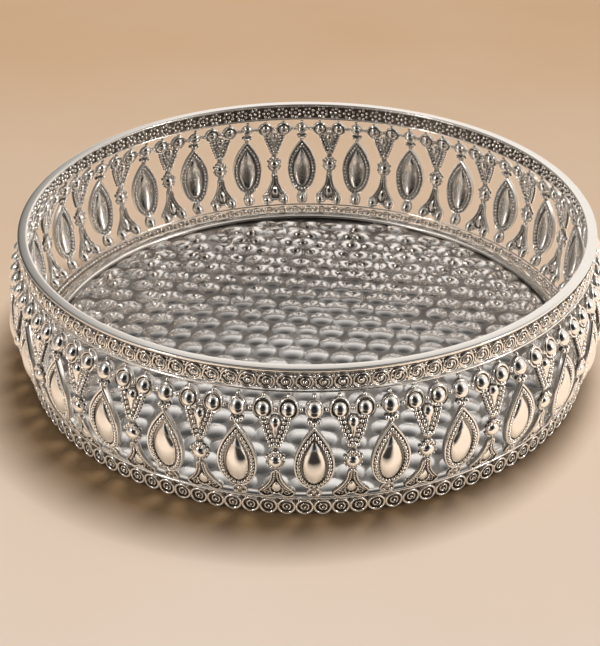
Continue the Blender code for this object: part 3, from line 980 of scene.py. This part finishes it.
def wall_cabochons(pitch):
    """The polished domes of one unit: drop, plain dome, ringed domes, small drop, ball and foot drop."""
    shape = new_shape()
    motif = pitch / 2
    drop = drop_side(9.8 * MM, 34.8 * MM, 11.0 * MM, 18)
    add_pod(shape, drop, 0, base=-0.2 * MM, rise=3.15 * MM, columns=14)
    plain_dome = (0, DOME - 0.7 * MM, 0.6 * MM, 3.0 * MM)
    ringed_domes = [(x, RINGED_DOME - 2.9 * MM, 0.3 * MM, 3.2 * MM) for x in (pitch / 3, 2 * pitch / 3)]
    for x, diameter, base, rise in (plain_dome, *ringed_domes):
        add_cabochon(shape, (x, DOME_LEVEL), diameter, 24, base, rise, 7)
    add_pod(shape, small_drop_side(), motif, base=0.4 * MM, rise=2.6 * MM, columns=10)
    add_cabochon(shape, (motif, BALL_LEVEL), BALL, 22, 0.0, 2.8 * MM, 7)
    foot_drop = drop_side(4.0 * MM, 11.0 * MM, 4.4 * MM, 9, 0.4)
    add_pod(shape, foot_drop, motif, base=0.4 * MM, rise=1.3 * MM, columns=8)
    add_back(shape)
    return shape


def drop_beads(sizes, pitch, material, facets):
    """The row round each drop, the cluster over it, the links' knobs, and the trefoil and wire under it."""
    shape = new_shape()
    bead = sizes.drop_bead
    row = closed(at_level(drop_at(2.0 * MM, 40), 0.9 * MM))
    add_rows(shape, [row], bead, bead * BEAD_SPACING, material, facets)
    cluster = [(-2.0 * MM, 43.6 * MM, 1.1 * MM), (2.0 * MM, 43.6 * MM, 1.1 * MM), (0, 42.9 * MM, 1.6 * MM)]
    add_beads(shape, cluster, 2.4 * MM, material, facets)
    knobs = [(side * pitch / 6, DOME_LEVEL, 0.9 * MM) for side in (-1, 1)]
    knobs.append((pitch / 2, DOME_LEVEL, 0.9 * MM))
    for x in (0, pitch / 3, -pitch / 3):
        knobs.append((x, WALL_HEIGHT - 1.0 * MM, 0.3 * MM))
    add_beads(shape, knobs, 1.9 * MM, material, facets)
    trefoil = [(-1.7 * MM, 2.2 * MM, 0.8 * MM), (1.7 * MM, 2.2 * MM, 0.8 * MM), (0, 4.9 * MM, 0.9 * MM)]
    add_beads(shape, trefoil, 2.2 * MM, material, facets)
    side = [(0.9, 6.9), (2.4, 5.4), (3.1, 3.6), (2.9, 1.8), (1.8, 0.7), (0.0, 0.55)]
    right = smooth_side([(x * MM, y * MM) for x, y in side], 12)
    path = right + [(-x, y) for x, y in right[-2::-1]]
    add_wire(shape, at_level(path, 0.6 * MM), 0.85 * MM, 6, material)
    return shape


def motif_rows(middle, pitch):
    """The two rows of beads down each arm, and the two down the neck under them."""
    rows = []
    for side in (-1, 1):
        for offset in (0.9 * MM, -0.9 * MM):
            rows.append(at_level(arm_side(pitch, side, offset), 0.9 * MM))
    for side in (-1, 1):
        x = middle + side * 0.88 * MM
        rows.append([(x, 28.6 * MM, 1.0 * MM), (x, 32.0 * MM, 1.0 * MM)])
    return rows


def foot_rows(middle):
    """The rows of grains down each side of the foot and round its curl."""
    outer = [(0.62, 17.0), (0.7, 14.8), (1.0, 12.6), (1.8, 10.4), (3.0, 8.2), (4.2, 6.4), (5.4, 5.2)]
    inner = [(2.75, 6.6), (3.0, 4.8), (2.3, 3.2), (1.1, 3.0)]
    return [
        [(middle + side * x * MM, y * MM, 0.6 * MM) for x, y in path]
        for side in (-1, 1)
        for path in (outer, inner)
    ]


def motif_beads(sizes, pitch, material, facets):
    """The rows of one Y motif, the crown round its ball, and the foot's grains and curls."""
    shape = new_shape()
    middle = pitch / 2
    bead = sizes.arm_bead
    add_rows(shape, motif_rows(middle, pitch), bead, bead * BEAD_SPACING, material, facets)
    crown = arc_places(middle, BALL_LEVEL, 4.1 * MM, range(32, 149, 29), 0.9 * MM)
    add_beads(shape, crown, 2.0 * MM, material, facets)
    under = arc_places(middle, BALL_LEVEL, 3.9 * MM, range(-15, -166, -25), 0.6 * MM)
    add_beads(shape, under, 1.3 * MM, material, 4)
    add_rows(shape, foot_rows(middle), 1.15 * MM, 1.15 * MM, material, 4)
    radii = [1.7 * MM * (1 - step / 15) for step in range(12)]
    for side in (-1, 1):
        path = spiral_path(middle + side * 4.9 * MM, 2.9 * MM, 40, 36, radii, 0.5 * MM, side)
        add_wire(shape, path, 0.5 * MM, 5, material)
    return shape


def inner_balls(pitch):
    """The bright domes along the foot of the wall's inner face."""
    shape = new_shape()
    motif = pitch / 2
    for place in ((0, 3.6 * MM), (motif - 5.6 * MM, 3.0 * MM), (motif + 5.6 * MM, 3.0 * MM)):
        add_cabochon(shape, place, 6.2 * MM, 16, 0.2 * MM, 3.6 * MM, 6)
    turn_over(shape)
    return shape


def bend_wall(flat, sizes, name):
    girth = NECK_RADIUS + sizes.belly_swell
    bend(flat, lambda height: wall_radius(height, sizes), WALL_BOTTOM, girth)
    return mesh_of(flat, name)


def unit_pitch(sizes):
    return math.tau * (NECK_RADIUS + sizes.belly_swell) / REPEATS


# Operators, one for each piece or group of like pieces

# Steps round the tray of everything that is turned
RING_STEPS = 192

# The collar's face from its inner edge outward: inward from its outer edge and down from its top in
# millimetres, and recess
COLLAR_FACE = [
    (8.0, 1.5, 0.3), (7.7, 1.25, 0.0), (5.6, 0.05, 0.0), (5.0, 0.0, 0.0),
    (3.0, 0.0, 0.0), (2.2, 0.3, 0.0), (1.0, 1.4, 0.3), (0.0, 2.0, 0.8),
]
COLLAR_WIDTH = 8.0 * MM
RIM_WIDTH = 5.0 * MM
ROUND_WIRE = 1.0 * MM


def rim_profile(outer, low, high):
    """A flat strip with softly rounded edges on top, undercut below."""
    profile = [(outer - 0.8 * MM, low, 0.6), (outer - RIM_WIDTH + 1.4 * MM, low, 0.6)]
    steps = 22
    for step in range(steps + 1):
        angle = math.pi * step / steps
        across = math.copysign(abs(math.cos(angle)) ** 0.42, math.cos(angle))
        down = 0.6 * MM * (1 - math.sin(angle) ** 0.6)
        profile.append((outer - RIM_WIDTH / 2 * (1 + across), high - down, 0.0))
    return profile


def wire_profile(outer, low, high):
    """The round section of a wire that runs along the middle of its solid."""
    outline = round_outline(outer - WIRE_DIAMETER / 2, (low + high) / 2, ROUND_WIRE, 10)
    return [(radius, height, 0.0) for radius, height in outline]


def collar_profile(outer, low, high):
    """The collar's flat underside, and its face."""
    # The foot of the collar's inner face, dark from the underside up, is a painted shadow line where it
    # sits on the plate
    underside = [(outer, low, 0.8), (outer - COLLAR_WIDTH, low, 0.8)]
    face = [(outer - inward * MM, high - down * MM, recess) for inward, down, recess in COLLAR_FACE]
    return underside + face


class TRAY_OT_rings(bpy.types.Operator):
    """Turns the rim, the two wires and the plate's collar"""

    bl_idname = "tray.rings"
    bl_label = "Rim, Wires and Collar"

    def execute(self, context):
        material = polished_silver(context.scene.tray_finish)
        for node, name, section in (
            ("rim", "polished_rim", rim_profile),
            ("upper_wire", "round_upper_wire", wire_profile),
            ("lower_wire", "round_lower_wire", wire_profile),
            ("plate_collar", "polished_collar", collar_profile),
        ):
            low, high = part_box(node)
            ring = turned(section(high.x, low.z, high.z), RING_STEPS, material, f"{node}_ring")
            keep(ring, name, 60, [node])
        return {"FINISHED"}


class TRAY_OT_wall_castings(bpy.types.Operator):
    """Casts the openwork wall: drops, arms, feet, seats and links"""

    bl_idname = "tray.wall_castings"
    bl_label = "Wall Castings"

    def execute(self, context):
        sizes = context.scene.tray_shape
        material = cast_silver(context.scene.tray_finish)
        mesh = bend_wall(wall_casting(unit_pitch(sizes)), sizes, "wall_casting")
        keep(repeat(mesh, REPEATS, material), "wall_castings", 60, WALL_NODES)
        return {"FINISHED"}


class TRAY_OT_wall_cabochons(bpy.types.Operator):
    """Sets the polished drops, domes and balls in the wall"""

    bl_idname = "tray.wall_cabochons"
    bl_label = "Wall Cabochons"

    def execute(self, context):
        sizes = context.scene.tray_shape
        material = polished_silver(context.scene.tray_finish)
        mesh = bend_wall(wall_cabochons(unit_pitch(sizes)), sizes, "wall_cabochon")
        keep(repeat(mesh, REPEATS, material), "wall_cabochons", 70)
        return {"FINISHED"}


class TRAY_OT_wall_beads(bpy.types.Operator):
    """Sets the beads round the drops and along the Y motifs, outside and inside, and the inner balls"""

    bl_idname = "tray.wall_beads"
    bl_label = "Wall Beads"

    def execute(self, context):
        sizes = context.scene.tray_shape
        material = cast_silver(context.scene.tray_finish)
        pitch = unit_pitch(sizes)
        for start, facets in (("", 6), ("inner_", 4)):
            for name, draw in (("drop_beads", drop_beads), ("y_motif_beads", motif_beads)):
                flat = draw(sizes, pitch, material, facets)
                if start:
                    turn_over(flat)
                mesh = bend_wall(flat, sizes, "bead")
                keep(repeat(mesh, REPEATS, material), start + name, 80)
        material = polished_silver(context.scene.tray_finish)
        mesh = bend_wall(inner_balls(pitch), sizes, "inner_ball")
        keep(repeat(mesh, REPEATS, material), "inner_foot_balls", 80)
        return {"FINISHED"}


def backing_profile(middle, low, high):
    """The thin strip behind the curls, dark between its edges."""
    return [
        (middle - 0.1 * MM, low, 0.1),
        (middle - 0.6 * MM, low + 0.1 * MM, 0.8),
        (middle - 0.7 * MM, (low + high) / 2, 0.8),
        (middle - 0.6 * MM, high - 0.1 * MM, 0.8),
        (middle - 0.1 * MM, high, 0.1),
    ]


def curl(pitch, height, material):
    """An outer ring, a spiral of nearly two turns with a bead in it, and two beads beside the ring."""
    shape = new_shape()
    x = pitch / 2
    y = height / 2
    ring = closed(round_outline(x, y, 7.2 * MM, 16))
    add_wire(shape, at_level(ring, 0.5 * MM), 0.95 * MM, 5, material)
    radii = [(3.0 - 0.12 * step) * MM for step in range(20)]
    add_wire(shape, spiral_path(x, y, 200, 31.5, radii, 0.5 * MM), 0.75 * MM, 5, material)
    add_beads(shape, [(x, y, 0.6 * MM)], 1.9 * MM, material)
    places = [(0, 0.9 * MM, 0.4 * MM), (0, height - 0.9 * MM, 0.4 * MM)]
    add_beads(shape, places, 1.4 * MM, material, 4)
    return shape


def band_grains(pitch, height, material):
    """Seven balls round one, on the upper band's inner face."""
    shape = new_shape()
    x = pitch / 2
    y = height / 2
    ring = round_outline(x, y, 5.6 * MM, 7)
    add_beads(shape, at_level(ring, 0.8 * MM) + [(x, y, 0.9 * MM)], 2.3 * MM, material, 5)
    turn_over(shape)
    return shape


class TRAY_OT_upper_band(bpy.types.Operator):
    """Makes the dark strip under the rim, its row of curls and the grains on its inner face"""

    bl_idname = "tray.upper_band"
    bl_label = "Upper Band"

    def execute(self, context):
        sizes = context.scene.tray_shape
        material = band_silver(context.scene.tray_finish)
        low = min(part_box(node)[0].z for node in UPPER_BAND_NODES)
        high = max(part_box(node)[1].z for node in UPPER_BAND_NODES)
        middle = NECK_RADIUS - 0.6 * MM
        backing = turned(backing_profile(middle, low, high), RING_STEPS, material, "upper_backing")
        keep(backing, "upper_band_backing", 60, UPPER_BAND_NODES)
        pitch = math.tau * middle / sizes.curls
        for name, draw in (("upper_band_curls", curl), ("upper_band_grains", band_grains)):
            flat = draw(pitch, high - low, material)
            bend(flat, lambda height: middle, low, middle)
            keep(repeat(mesh_of(flat, "band_unit"), sizes.curls, material), name, 80)
        return {"FINISHED"}


def open_ring(pitch, height, material):
    """An oval ring with a smaller open ring and a bead inside it."""
    shape = new_shape()
    x = pitch / 2
    y = height / 2
    wire = 1.0 * MM
    half_width = (pitch - wire) / 2 + 0.15 * MM
    half_height = (height - wire) / 2
    ring = [(x + half_width * across, y + half_height * up) for across, up in round_outline(0, 0, 2, 20)]
    add_wire(shape, at_level(closed(ring), 0.0), wire, 7, material)
    radii = [(1.95 - step / 30) * MM for step in range(16)]
    add_wire(shape, spiral_path(x, y, -60, 22.8, radii, -0.1 * MM), 0.7 * MM, 5, material)
    add_beads(shape, [(x + 0.2 * MM, y - 0.2 * MM, 0.0)], 1.2 * MM, material)
    return shape


def ring_grains(pitch, height, material):
    """The balls over and between the open rings, on their inner face."""
    shape = new_shape()
    row = [(pitch * share, height - 1.3 * MM, 0.9 * MM) for share in (0.0, 0.33, 0.67)]
    add_beads(shape, row, 2.7 * MM, material, 5)
    between = [(0, 2.4 * MM, 0.6 * MM), (0, height - 3.6 * MM, 0.6 * MM)]
    add_beads(shape, between, 1.8 * MM, material, 4)
    turn_over(shape)
    return shape


class TRAY_OT_lower_band(bpy.types.Operator):
    """Makes the row of open rings that the tray stands on"""

    bl_idname = "tray.lower_band"
    bl_label = "Lower Band"

    def execute(self, context):
        sizes = context.scene.tray_shape
        material = band_silver(context.scene.tray_finish)
        height = max(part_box(node)[1].z for node in LOWER_BAND_NODES)
        pitch = math.tau * FOOT_RADIUS / sizes.curls
        flat = open_ring(pitch, height, material)
        absorb(flat, mesh_of(ring_grains(pitch, height, material), "grains"))
        bend(flat, lambda level: FOOT_RADIUS, 0.0, FOOT_RADIUS)
        rings = repeat(mesh_of(flat, "ring"), sizes.curls, material)
        keep(rings, "lower_band_rings", 80, LOWER_BAND_NODES)
        return {"FINISHED"}


# Squares across the sheet, how far its rows are turned in degrees, how far a bump strays from its row,
# and the width of the sheet's edge where no bump has its middle
PLATE_GRID = 300
ROW_TURN = -8
BUMP_JITTER = 1.1 * MM
PLAIN_EDGE = 5.0 * MM


def disc_grid(radius, count):
    """A square grid pressed into a disc."""
    shape = new_shape()
    rows = []
    for j in range(count + 1):
        row = []
        for i in range(count + 1):
            u = 2 * i / count - 1
            v = 2 * j / count - 1
            x = u * math.sqrt(1 - v * v / 2)
            y = v * math.sqrt(1 - u * u / 2)
            row.append(shape.verts.new((x * radius, y * radius, 0)))
        rows.append(row)
    for j in range(count):
        for i in range(count):
            shape.faces.new((rows[j][i], rows[j][i + 1], rows[j + 1][i + 1], rows[j + 1][i]))
    return shape


def disc_edge(count):
    """Where the points of a disc grid's edge stand in its order, all the way round."""
    side = count + 1
    return [
        *range(count),
        *range(count, count * side + count, side),
        *range(count * side + count, count * side, -1),
        *range(count * side, 0, -side),
    ]


class TRAY_OT_plate(bpy.types.Operator):
    """Hammers the plate with rows of bumps"""

    bl_idname = "tray.plate"
    bl_label = "Hammered Plate"

    def execute(self, context):
        sizes = context.scene.tray_shape
        material = hammered_silver(context.scene.tray_finish)
        low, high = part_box("hammered_plate")
        sheet = mesh_of(disc_grid(high.x, PLATE_GRID), "sheet")
        values = {
            "Bump Pitch": sizes.bump_pitch,
            "Bump Row": sizes.bump_row,
            "Bump Rise": sizes.bump_rise,
            "Row Turn": math.radians(ROW_TURN),
            "Jitter": BUMP_JITTER,
            "Reach": high.x - PLAIN_EDGE,
            "Seed": sizes.bump_seed,
        }
        mesh = grow(sheet, "Hammered bumps", values, material)
        shape = bmesh.new()
        shape.from_mesh(mesh)
        bpy.data.meshes.remove(mesh)
        bmesh.ops.translate(shape, verts=shape.verts, vec=(0, 0, high.z))
        shape.verts.ensure_lookup_table()
        upper = [shape.verts[index] for index in disc_edge(PLATE_GRID)]
        layer = shape.verts.layers.float["recess"]
        lower = [add_point(shape, (*vertex.co.xy, low.z), vertex[layer]) for vertex in upper]
        skin(shape, lower, upper)
        shape.faces.new(lower)
        plate = mesh_of(shape, "plate")
        plate.materials.clear()
        plate.materials.append(material)
        keep(plate, "hammered_sheet", 60, ["hammered_plate"])
        return {"FINISHED"}


# Shares of red, green and blue that the floor keeps at its back, as painted shade for light falling off,
# and close to the tray, as a painted shadow, and that the backdrop keeps in the painted glow where the
# metal shows the floor
FALLOFF_TONE = (0.80, 0.64, 0.46)
SHADOW_TONE = (0.34, 0.26, 0.16)
GLOW_TONE = (1.0, 0.90, 0.79)
# From the middle of the painted shadow round the tray to the tray's own middle
SHADOW_OFFSET = (0.012, 0.014, 0.0)
# How strongly the floor glows where the metal shows it: a painted glow that only the metal's reflections
# see
GLOW = 0.22


def toned(colour, shares=(1.0, 1.0, 1.0)):
    """A colour with its parts scaled, as four channels."""
    return (*(part * share for part, share in zip(colour, shares)), 1.0)


def floor_material(finish):
    """A matt pale floor with painted shade deepening it towards its back, a painted shadow close round the
    tray, and a painted glow that lightens it in the metal.
    """
    material = bpy.data.materials.new("studio floor")
    material.use_nodes = True
    tree = material.node_tree
    shader = tree.nodes["Principled BSDF"]
    shader.inputs["Roughness"].default_value = 0.7
    shader.inputs["Specular IOR Level"].default_value = 0.2
    here = add_node(tree, "ShaderNodeTexCoord").outputs["Object"]
    parts = add_node(tree, "ShaderNodeSeparateXYZ", {0: here})
    noise = add_node(tree, "ShaderNodeTexNoise", {"Vector": here, "Scale": 6.0, "Detail": 6.0})
    # Painted shade: the floor darkens and browns towards its back, as if the light fell off there
    back = map_node(tree, parts.outputs["Y"], -0.25, 0.45, 0.0, 0.85)
    mottled = map_node(tree, noise.outputs[0], 0.3, 0.7, 0.0, 0.15)
    tone = math_node(tree, "ADD", back, mottled)
    cloth = mix_node(tree, tone, toned(finish.floor), toned(finish.floor, FALLOFF_TONE))
    # Painted shadow: a dark ring on the floor round the tray, a little to its front left
    reach = vector_node(tree, "LENGTH", {0: vector_node(tree, "ADD", {0: here, 1: SHADOW_OFFSET})})
    close = map_node(tree, reach, 0.140, 0.168, 1.0, 0.0)
    shadowed = mix_node(tree, close, cloth, toned(finish.floor, SHADOW_TONE))
    # Painted reflection: seen in the metal, the floor turns lighter and glows, less so on its left and
    # close to the tray
    ray = add_node(tree, "ShaderNodeLightPath")
    glow_side = map_node(tree, parts.outputs["X"], -0.28, -0.10, 0.05, 1.0)
    in_metal = math_node(tree, "MULTIPLY", ray.outputs["Is Glossy Ray"], glow_side)
    far = map_node(tree, reach, 0.14, 0.42, 0.4, 1.0)
    paler = math_node(tree, "MULTIPLY", in_metal, far)
    warm = toned(finish.backdrop, GLOW_TONE)
    tree.links.new(mix_node(tree, paler, shadowed, warm), shader.inputs["Base Color"])
    tree.links.new(math_node(tree, "MULTIPLY", in_metal, GLOW), shader.inputs["Emission Strength"])
    shader.inputs["Emission Color"].default_value = warm
    return material


# How far before the tray's middle the flag starts, half its width there, and how much wider it grows
FLAG_START = 0.17
FLAG_HALF = 0.04
FLAG_SPREAD = 0.70


def front_flag_material():
    """A black flag on the floor before the tray, clear towards its edges."""
    material = bpy.data.materials.new("front flag")
    material.use_nodes = True
    tree = material.node_tree
    shader = tree.nodes["Principled BSDF"]
    shader.inputs["Base Color"].default_value = (0.02, 0.018, 0.016, 1.0)
    shader.inputs["Roughness"].default_value = 0.9
    here = add_node(tree, "ShaderNodeTexCoord").outputs["Object"]
    parts = add_node(tree, "ShaderNodeSeparateXYZ", {0: here})
    ahead = math_node(tree, "SUBTRACT", -FLAG_START, parts.outputs["Y"])
    width = math_node(tree, "ADD", math_node(tree, "MULTIPLY", ahead, FLAG_SPREAD), FLAG_HALF)
    aside = math_node(tree, "DIVIDE", math_node(tree, "ABSOLUTE", parts.outputs["X"]), width)
    near = map_node(tree, ahead, 0.0, 0.04, 0.0, 1.0)
    within = map_node(tree, aside, 0.6, 1.2, 1.0, 0.0)
    tree.links.new(math_node(tree, "MULTIPLY", near, within), shader.inputs["Alpha"])
    return material


# Dark parts of the studio that the metal shows: direction, angles of the edge and of the core in degrees,
# and how much darker the core is
DARK_SPOTS = [
    ((0.02, -0.853, 0.50), 57, 28, 0.97),
    ((0.0, -0.45, 0.89), 34, 14, 0.60),
    ((0.0, 0.47, 0.88), 32, 15, 0.93),
    ((-0.68, 0.58, 0.43), 38, 12, 0.75),
    ((-0.40, 0.82, 0.40), 21, 10, 0.80),
    ((-0.95, 0.05, 0.20), 40, 12, 0.70),
]


# The even light on all but the metal
FILL_COLOUR = (1.0, 0.96, 0.91)
FILL_STRENGTH = 0.18


def glow_node(tree, colour, strength):
    sources = {"Color": toned(colour), "Strength": strength}
    return add_node(tree, "ShaderNodeBackground", sources).outputs[0]


def dark_spots(tree):
    """How bright each direction of the studio is for the metal, from one down to the spots' cores."""
    here = add_node(tree, "ShaderNodeTexCoord").outputs["Generated"]
    bright = 1.0
    for way, edge, core, depth in DARK_SPOTS:
        toward = vector_node(tree, "DOT_PRODUCT", {0: here, 1: Vector(way).normalized()})
        edge_share = math.cos(math.radians(edge))
        core_share = math.cos(math.radians(core))
        spot = map_node(tree, toward, edge_share, core_share, 1.0, 1.0 - depth)
        bright = math_node(tree, "MULTIPLY", spot, bright)
    return bright


def set_world(finish):
    """A pale backdrop for the camera, the same with dark spots for the metal, and a weaker even light."""
    world = bpy.data.worlds.new("studio")
    bpy.context.scene.world = world
    world.use_nodes = True
    tree = world.node_tree
    tree.nodes.clear()
    ray = add_node(tree, "ShaderNodeLightPath")
    light = glow_node(tree, FILL_COLOUR, FILL_STRENGTH)
    shown = glow_node(tree, finish.backdrop, 1.0)
    reflected = glow_node(tree, finish.backdrop, dark_spots(tree))
    clear = math_node(tree, "MAXIMUM", ray.outputs["Is Camera Ray"], ray.outputs["Is Transmission Ray"])
    mixed = add_node(tree, "ShaderNodeMixShader", {0: clear, 1: light, 2: shown})
    sources = {0: ray.outputs["Is Glossy Ray"], 1: mixed.outputs[0], 2: reflected}
    whole = add_node(tree, "ShaderNodeMixShader", sources)
    add_node(tree, "ShaderNodeOutputWorld", {0: whole.outputs[0]})


def add_lamp(name, place, size, power, colour, kind="AREA"):
    """A round lamp aimed at the tray. A sun's size is the angle it fills, in degrees."""
    data = bpy.data.lights.new(name, kind)
    if kind == "SUN":
        data.angle = math.radians(size)
    else:
        data.shape = "DISK"
        data.size = size
    data.energy = power
    data.color = colour
    lamp = bpy.data.objects.new(name, data)
    lamp.location = place
    lamp.rotation_euler = (-Vector(place)).to_track_quat("-Z", "Y").to_euler()
    bpy.context.scene.collection.objects.link(lamp)
    return lamp


def add_sheet(name, corners, level, material):
    """A flat sheet of the stage, between two corners."""
    (x0, y0), (x1, y1) = corners
    mesh = bpy.data.meshes.new(name)
    mesh.from_pydata([(x, y, level) for x, y in rectangle(x0, x1, y0, y1)], [], [(0, 1, 2, 3)])
    mesh.materials.append(material)
    sheet = bpy.data.objects.new(name, mesh)
    bpy.context.scene.collection.objects.link(sheet)
    return sheet


# The camera as fitted to the photograph: place, focal length and sensor in millimetres, angles in degrees
CAMERA_PLACE = (-0.0037, -0.6487, 0.4087)
CAMERA_LENS = 79.63
CAMERA_SENSOR = 36
CAMERA_TURN = -0.9
CAMERA_TILT = 58.53
CAMERA_ROLL = -0.116


def add_lamps():
    """A soft sun and an overhead lamp, which the metal doesn't show, and a glint for it on each side."""
    key = add_lamp("key", (0.8, 1.05, 3.6), size=26, power=1.9, colour=(1.0, 0.97, 0.94), kind="SUN")
    overhead = add_lamp("overhead", (-0.1, -0.6, 2.4), size=1.6, power=15, colour=(1.0, 0.98, 0.96))
    for lamp in (key, overhead):
        lamp.visible_glossy = False
    for name, place in (("right_lamp", (1.1, -0.35, 0.75)), ("left_lamp", (-1.0, -0.60, 1.0))):
        glint = add_lamp(name, place, size=0.24, power=3.5, colour=(1.0, 0.98, 0.95))
        glint.visible_diffuse = False


def add_camera():
    camera = bpy.data.objects.new("camera", bpy.data.cameras.new("camera"))
    camera.data.lens = CAMERA_LENS
    camera.data.sensor_width = CAMERA_SENSOR
    turn = Matrix.Rotation(math.radians(CAMERA_TURN), 4, "Z")
    tilt = Matrix.Rotation(math.radians(CAMERA_TILT), 4, "X")
    roll = Matrix.Rotation(math.radians(CAMERA_ROLL), 4, "Z")
    camera.matrix_world = turn @ Matrix.Translation(CAMERA_PLACE) @ tilt @ roll
    bpy.context.scene.collection.objects.link(camera)
    bpy.context.scene.camera = camera


class TRAY_OT_stage(bpy.types.Operator):
    """Sets the floor, the flag before the tray, the backdrop, the lamps and the camera"""

    bl_idname = "tray.stage"
    bl_label = "Studio"

    def execute(self, context):
        finish = context.scene.tray_finish
        add_sheet("floor", ((-20, -20), (20, 20)), 0.0, floor_material(finish))
        flag = add_sheet("front_flag", ((-1.5, -3), (1.5, -FLAG_START)), 0.5 * MM, front_flag_material())
        flag.visible_camera = False
        flag.visible_shadow = False
        flag.visible_diffuse = False
        set_world(finish)
        add_lamps()
        add_camera()
        context.scene.view_settings.view_transform = "Standard"
        return {"FINISHED"}


class TRAY_PT_look(bpy.types.Panel):
    """Lists the tray's pieces, sizes and finishes"""

    bl_label = "Decorative Tray"
    bl_idname = "TRAY_PT_look"
    bl_space_type = "VIEW_3D"
    bl_region_type = "UI"
    bl_category = "Tray"

    def draw(self, context):
        for group in (context.scene.tray_shape, context.scene.tray_finish):
            column = self.layout.column(align=True)
            for name in group.__annotations__:
                column.prop(group, name)
        column = self.layout.column(align=True)
        for operator in PIECES:
            column.operator(operator.bl_idname)


PIECES = (
    TRAY_OT_rings,
    TRAY_OT_upper_band,
    TRAY_OT_wall_castings,
    TRAY_OT_wall_cabochons,
    TRAY_OT_wall_beads,
    TRAY_OT_plate,
    TRAY_OT_lower_band,
    TRAY_OT_stage,
)
CLASSES = (TrayShape, TrayFinish, *PIECES, TRAY_PT_look)


def register():
    for made in CLASSES:
        bpy.utils.register_class(made)
    bpy.types.Scene.tray_shape = bpy.props.PointerProperty(type=TrayShape)
    bpy.types.Scene.tray_finish = bpy.props.PointerProperty(type=TrayFinish)


def unregister():
    del bpy.types.Scene.tray_finish
    del bpy.types.Scene.tray_shape
    for made in reversed(CLASSES):
        bpy.utils.unregister_class(made)


def main():
    register()
    bpy.ops.tray.rings()
    bpy.ops.tray.upper_band()
    bpy.ops.tray.wall_castings()
    bpy.ops.tray.wall_cabochons()
    bpy.ops.tray.wall_beads()
    bpy.ops.tray.plate()
    bpy.ops.tray.lower_band()
    bpy.ops.tray.stage()


if __name__ == "__main__":
    main()
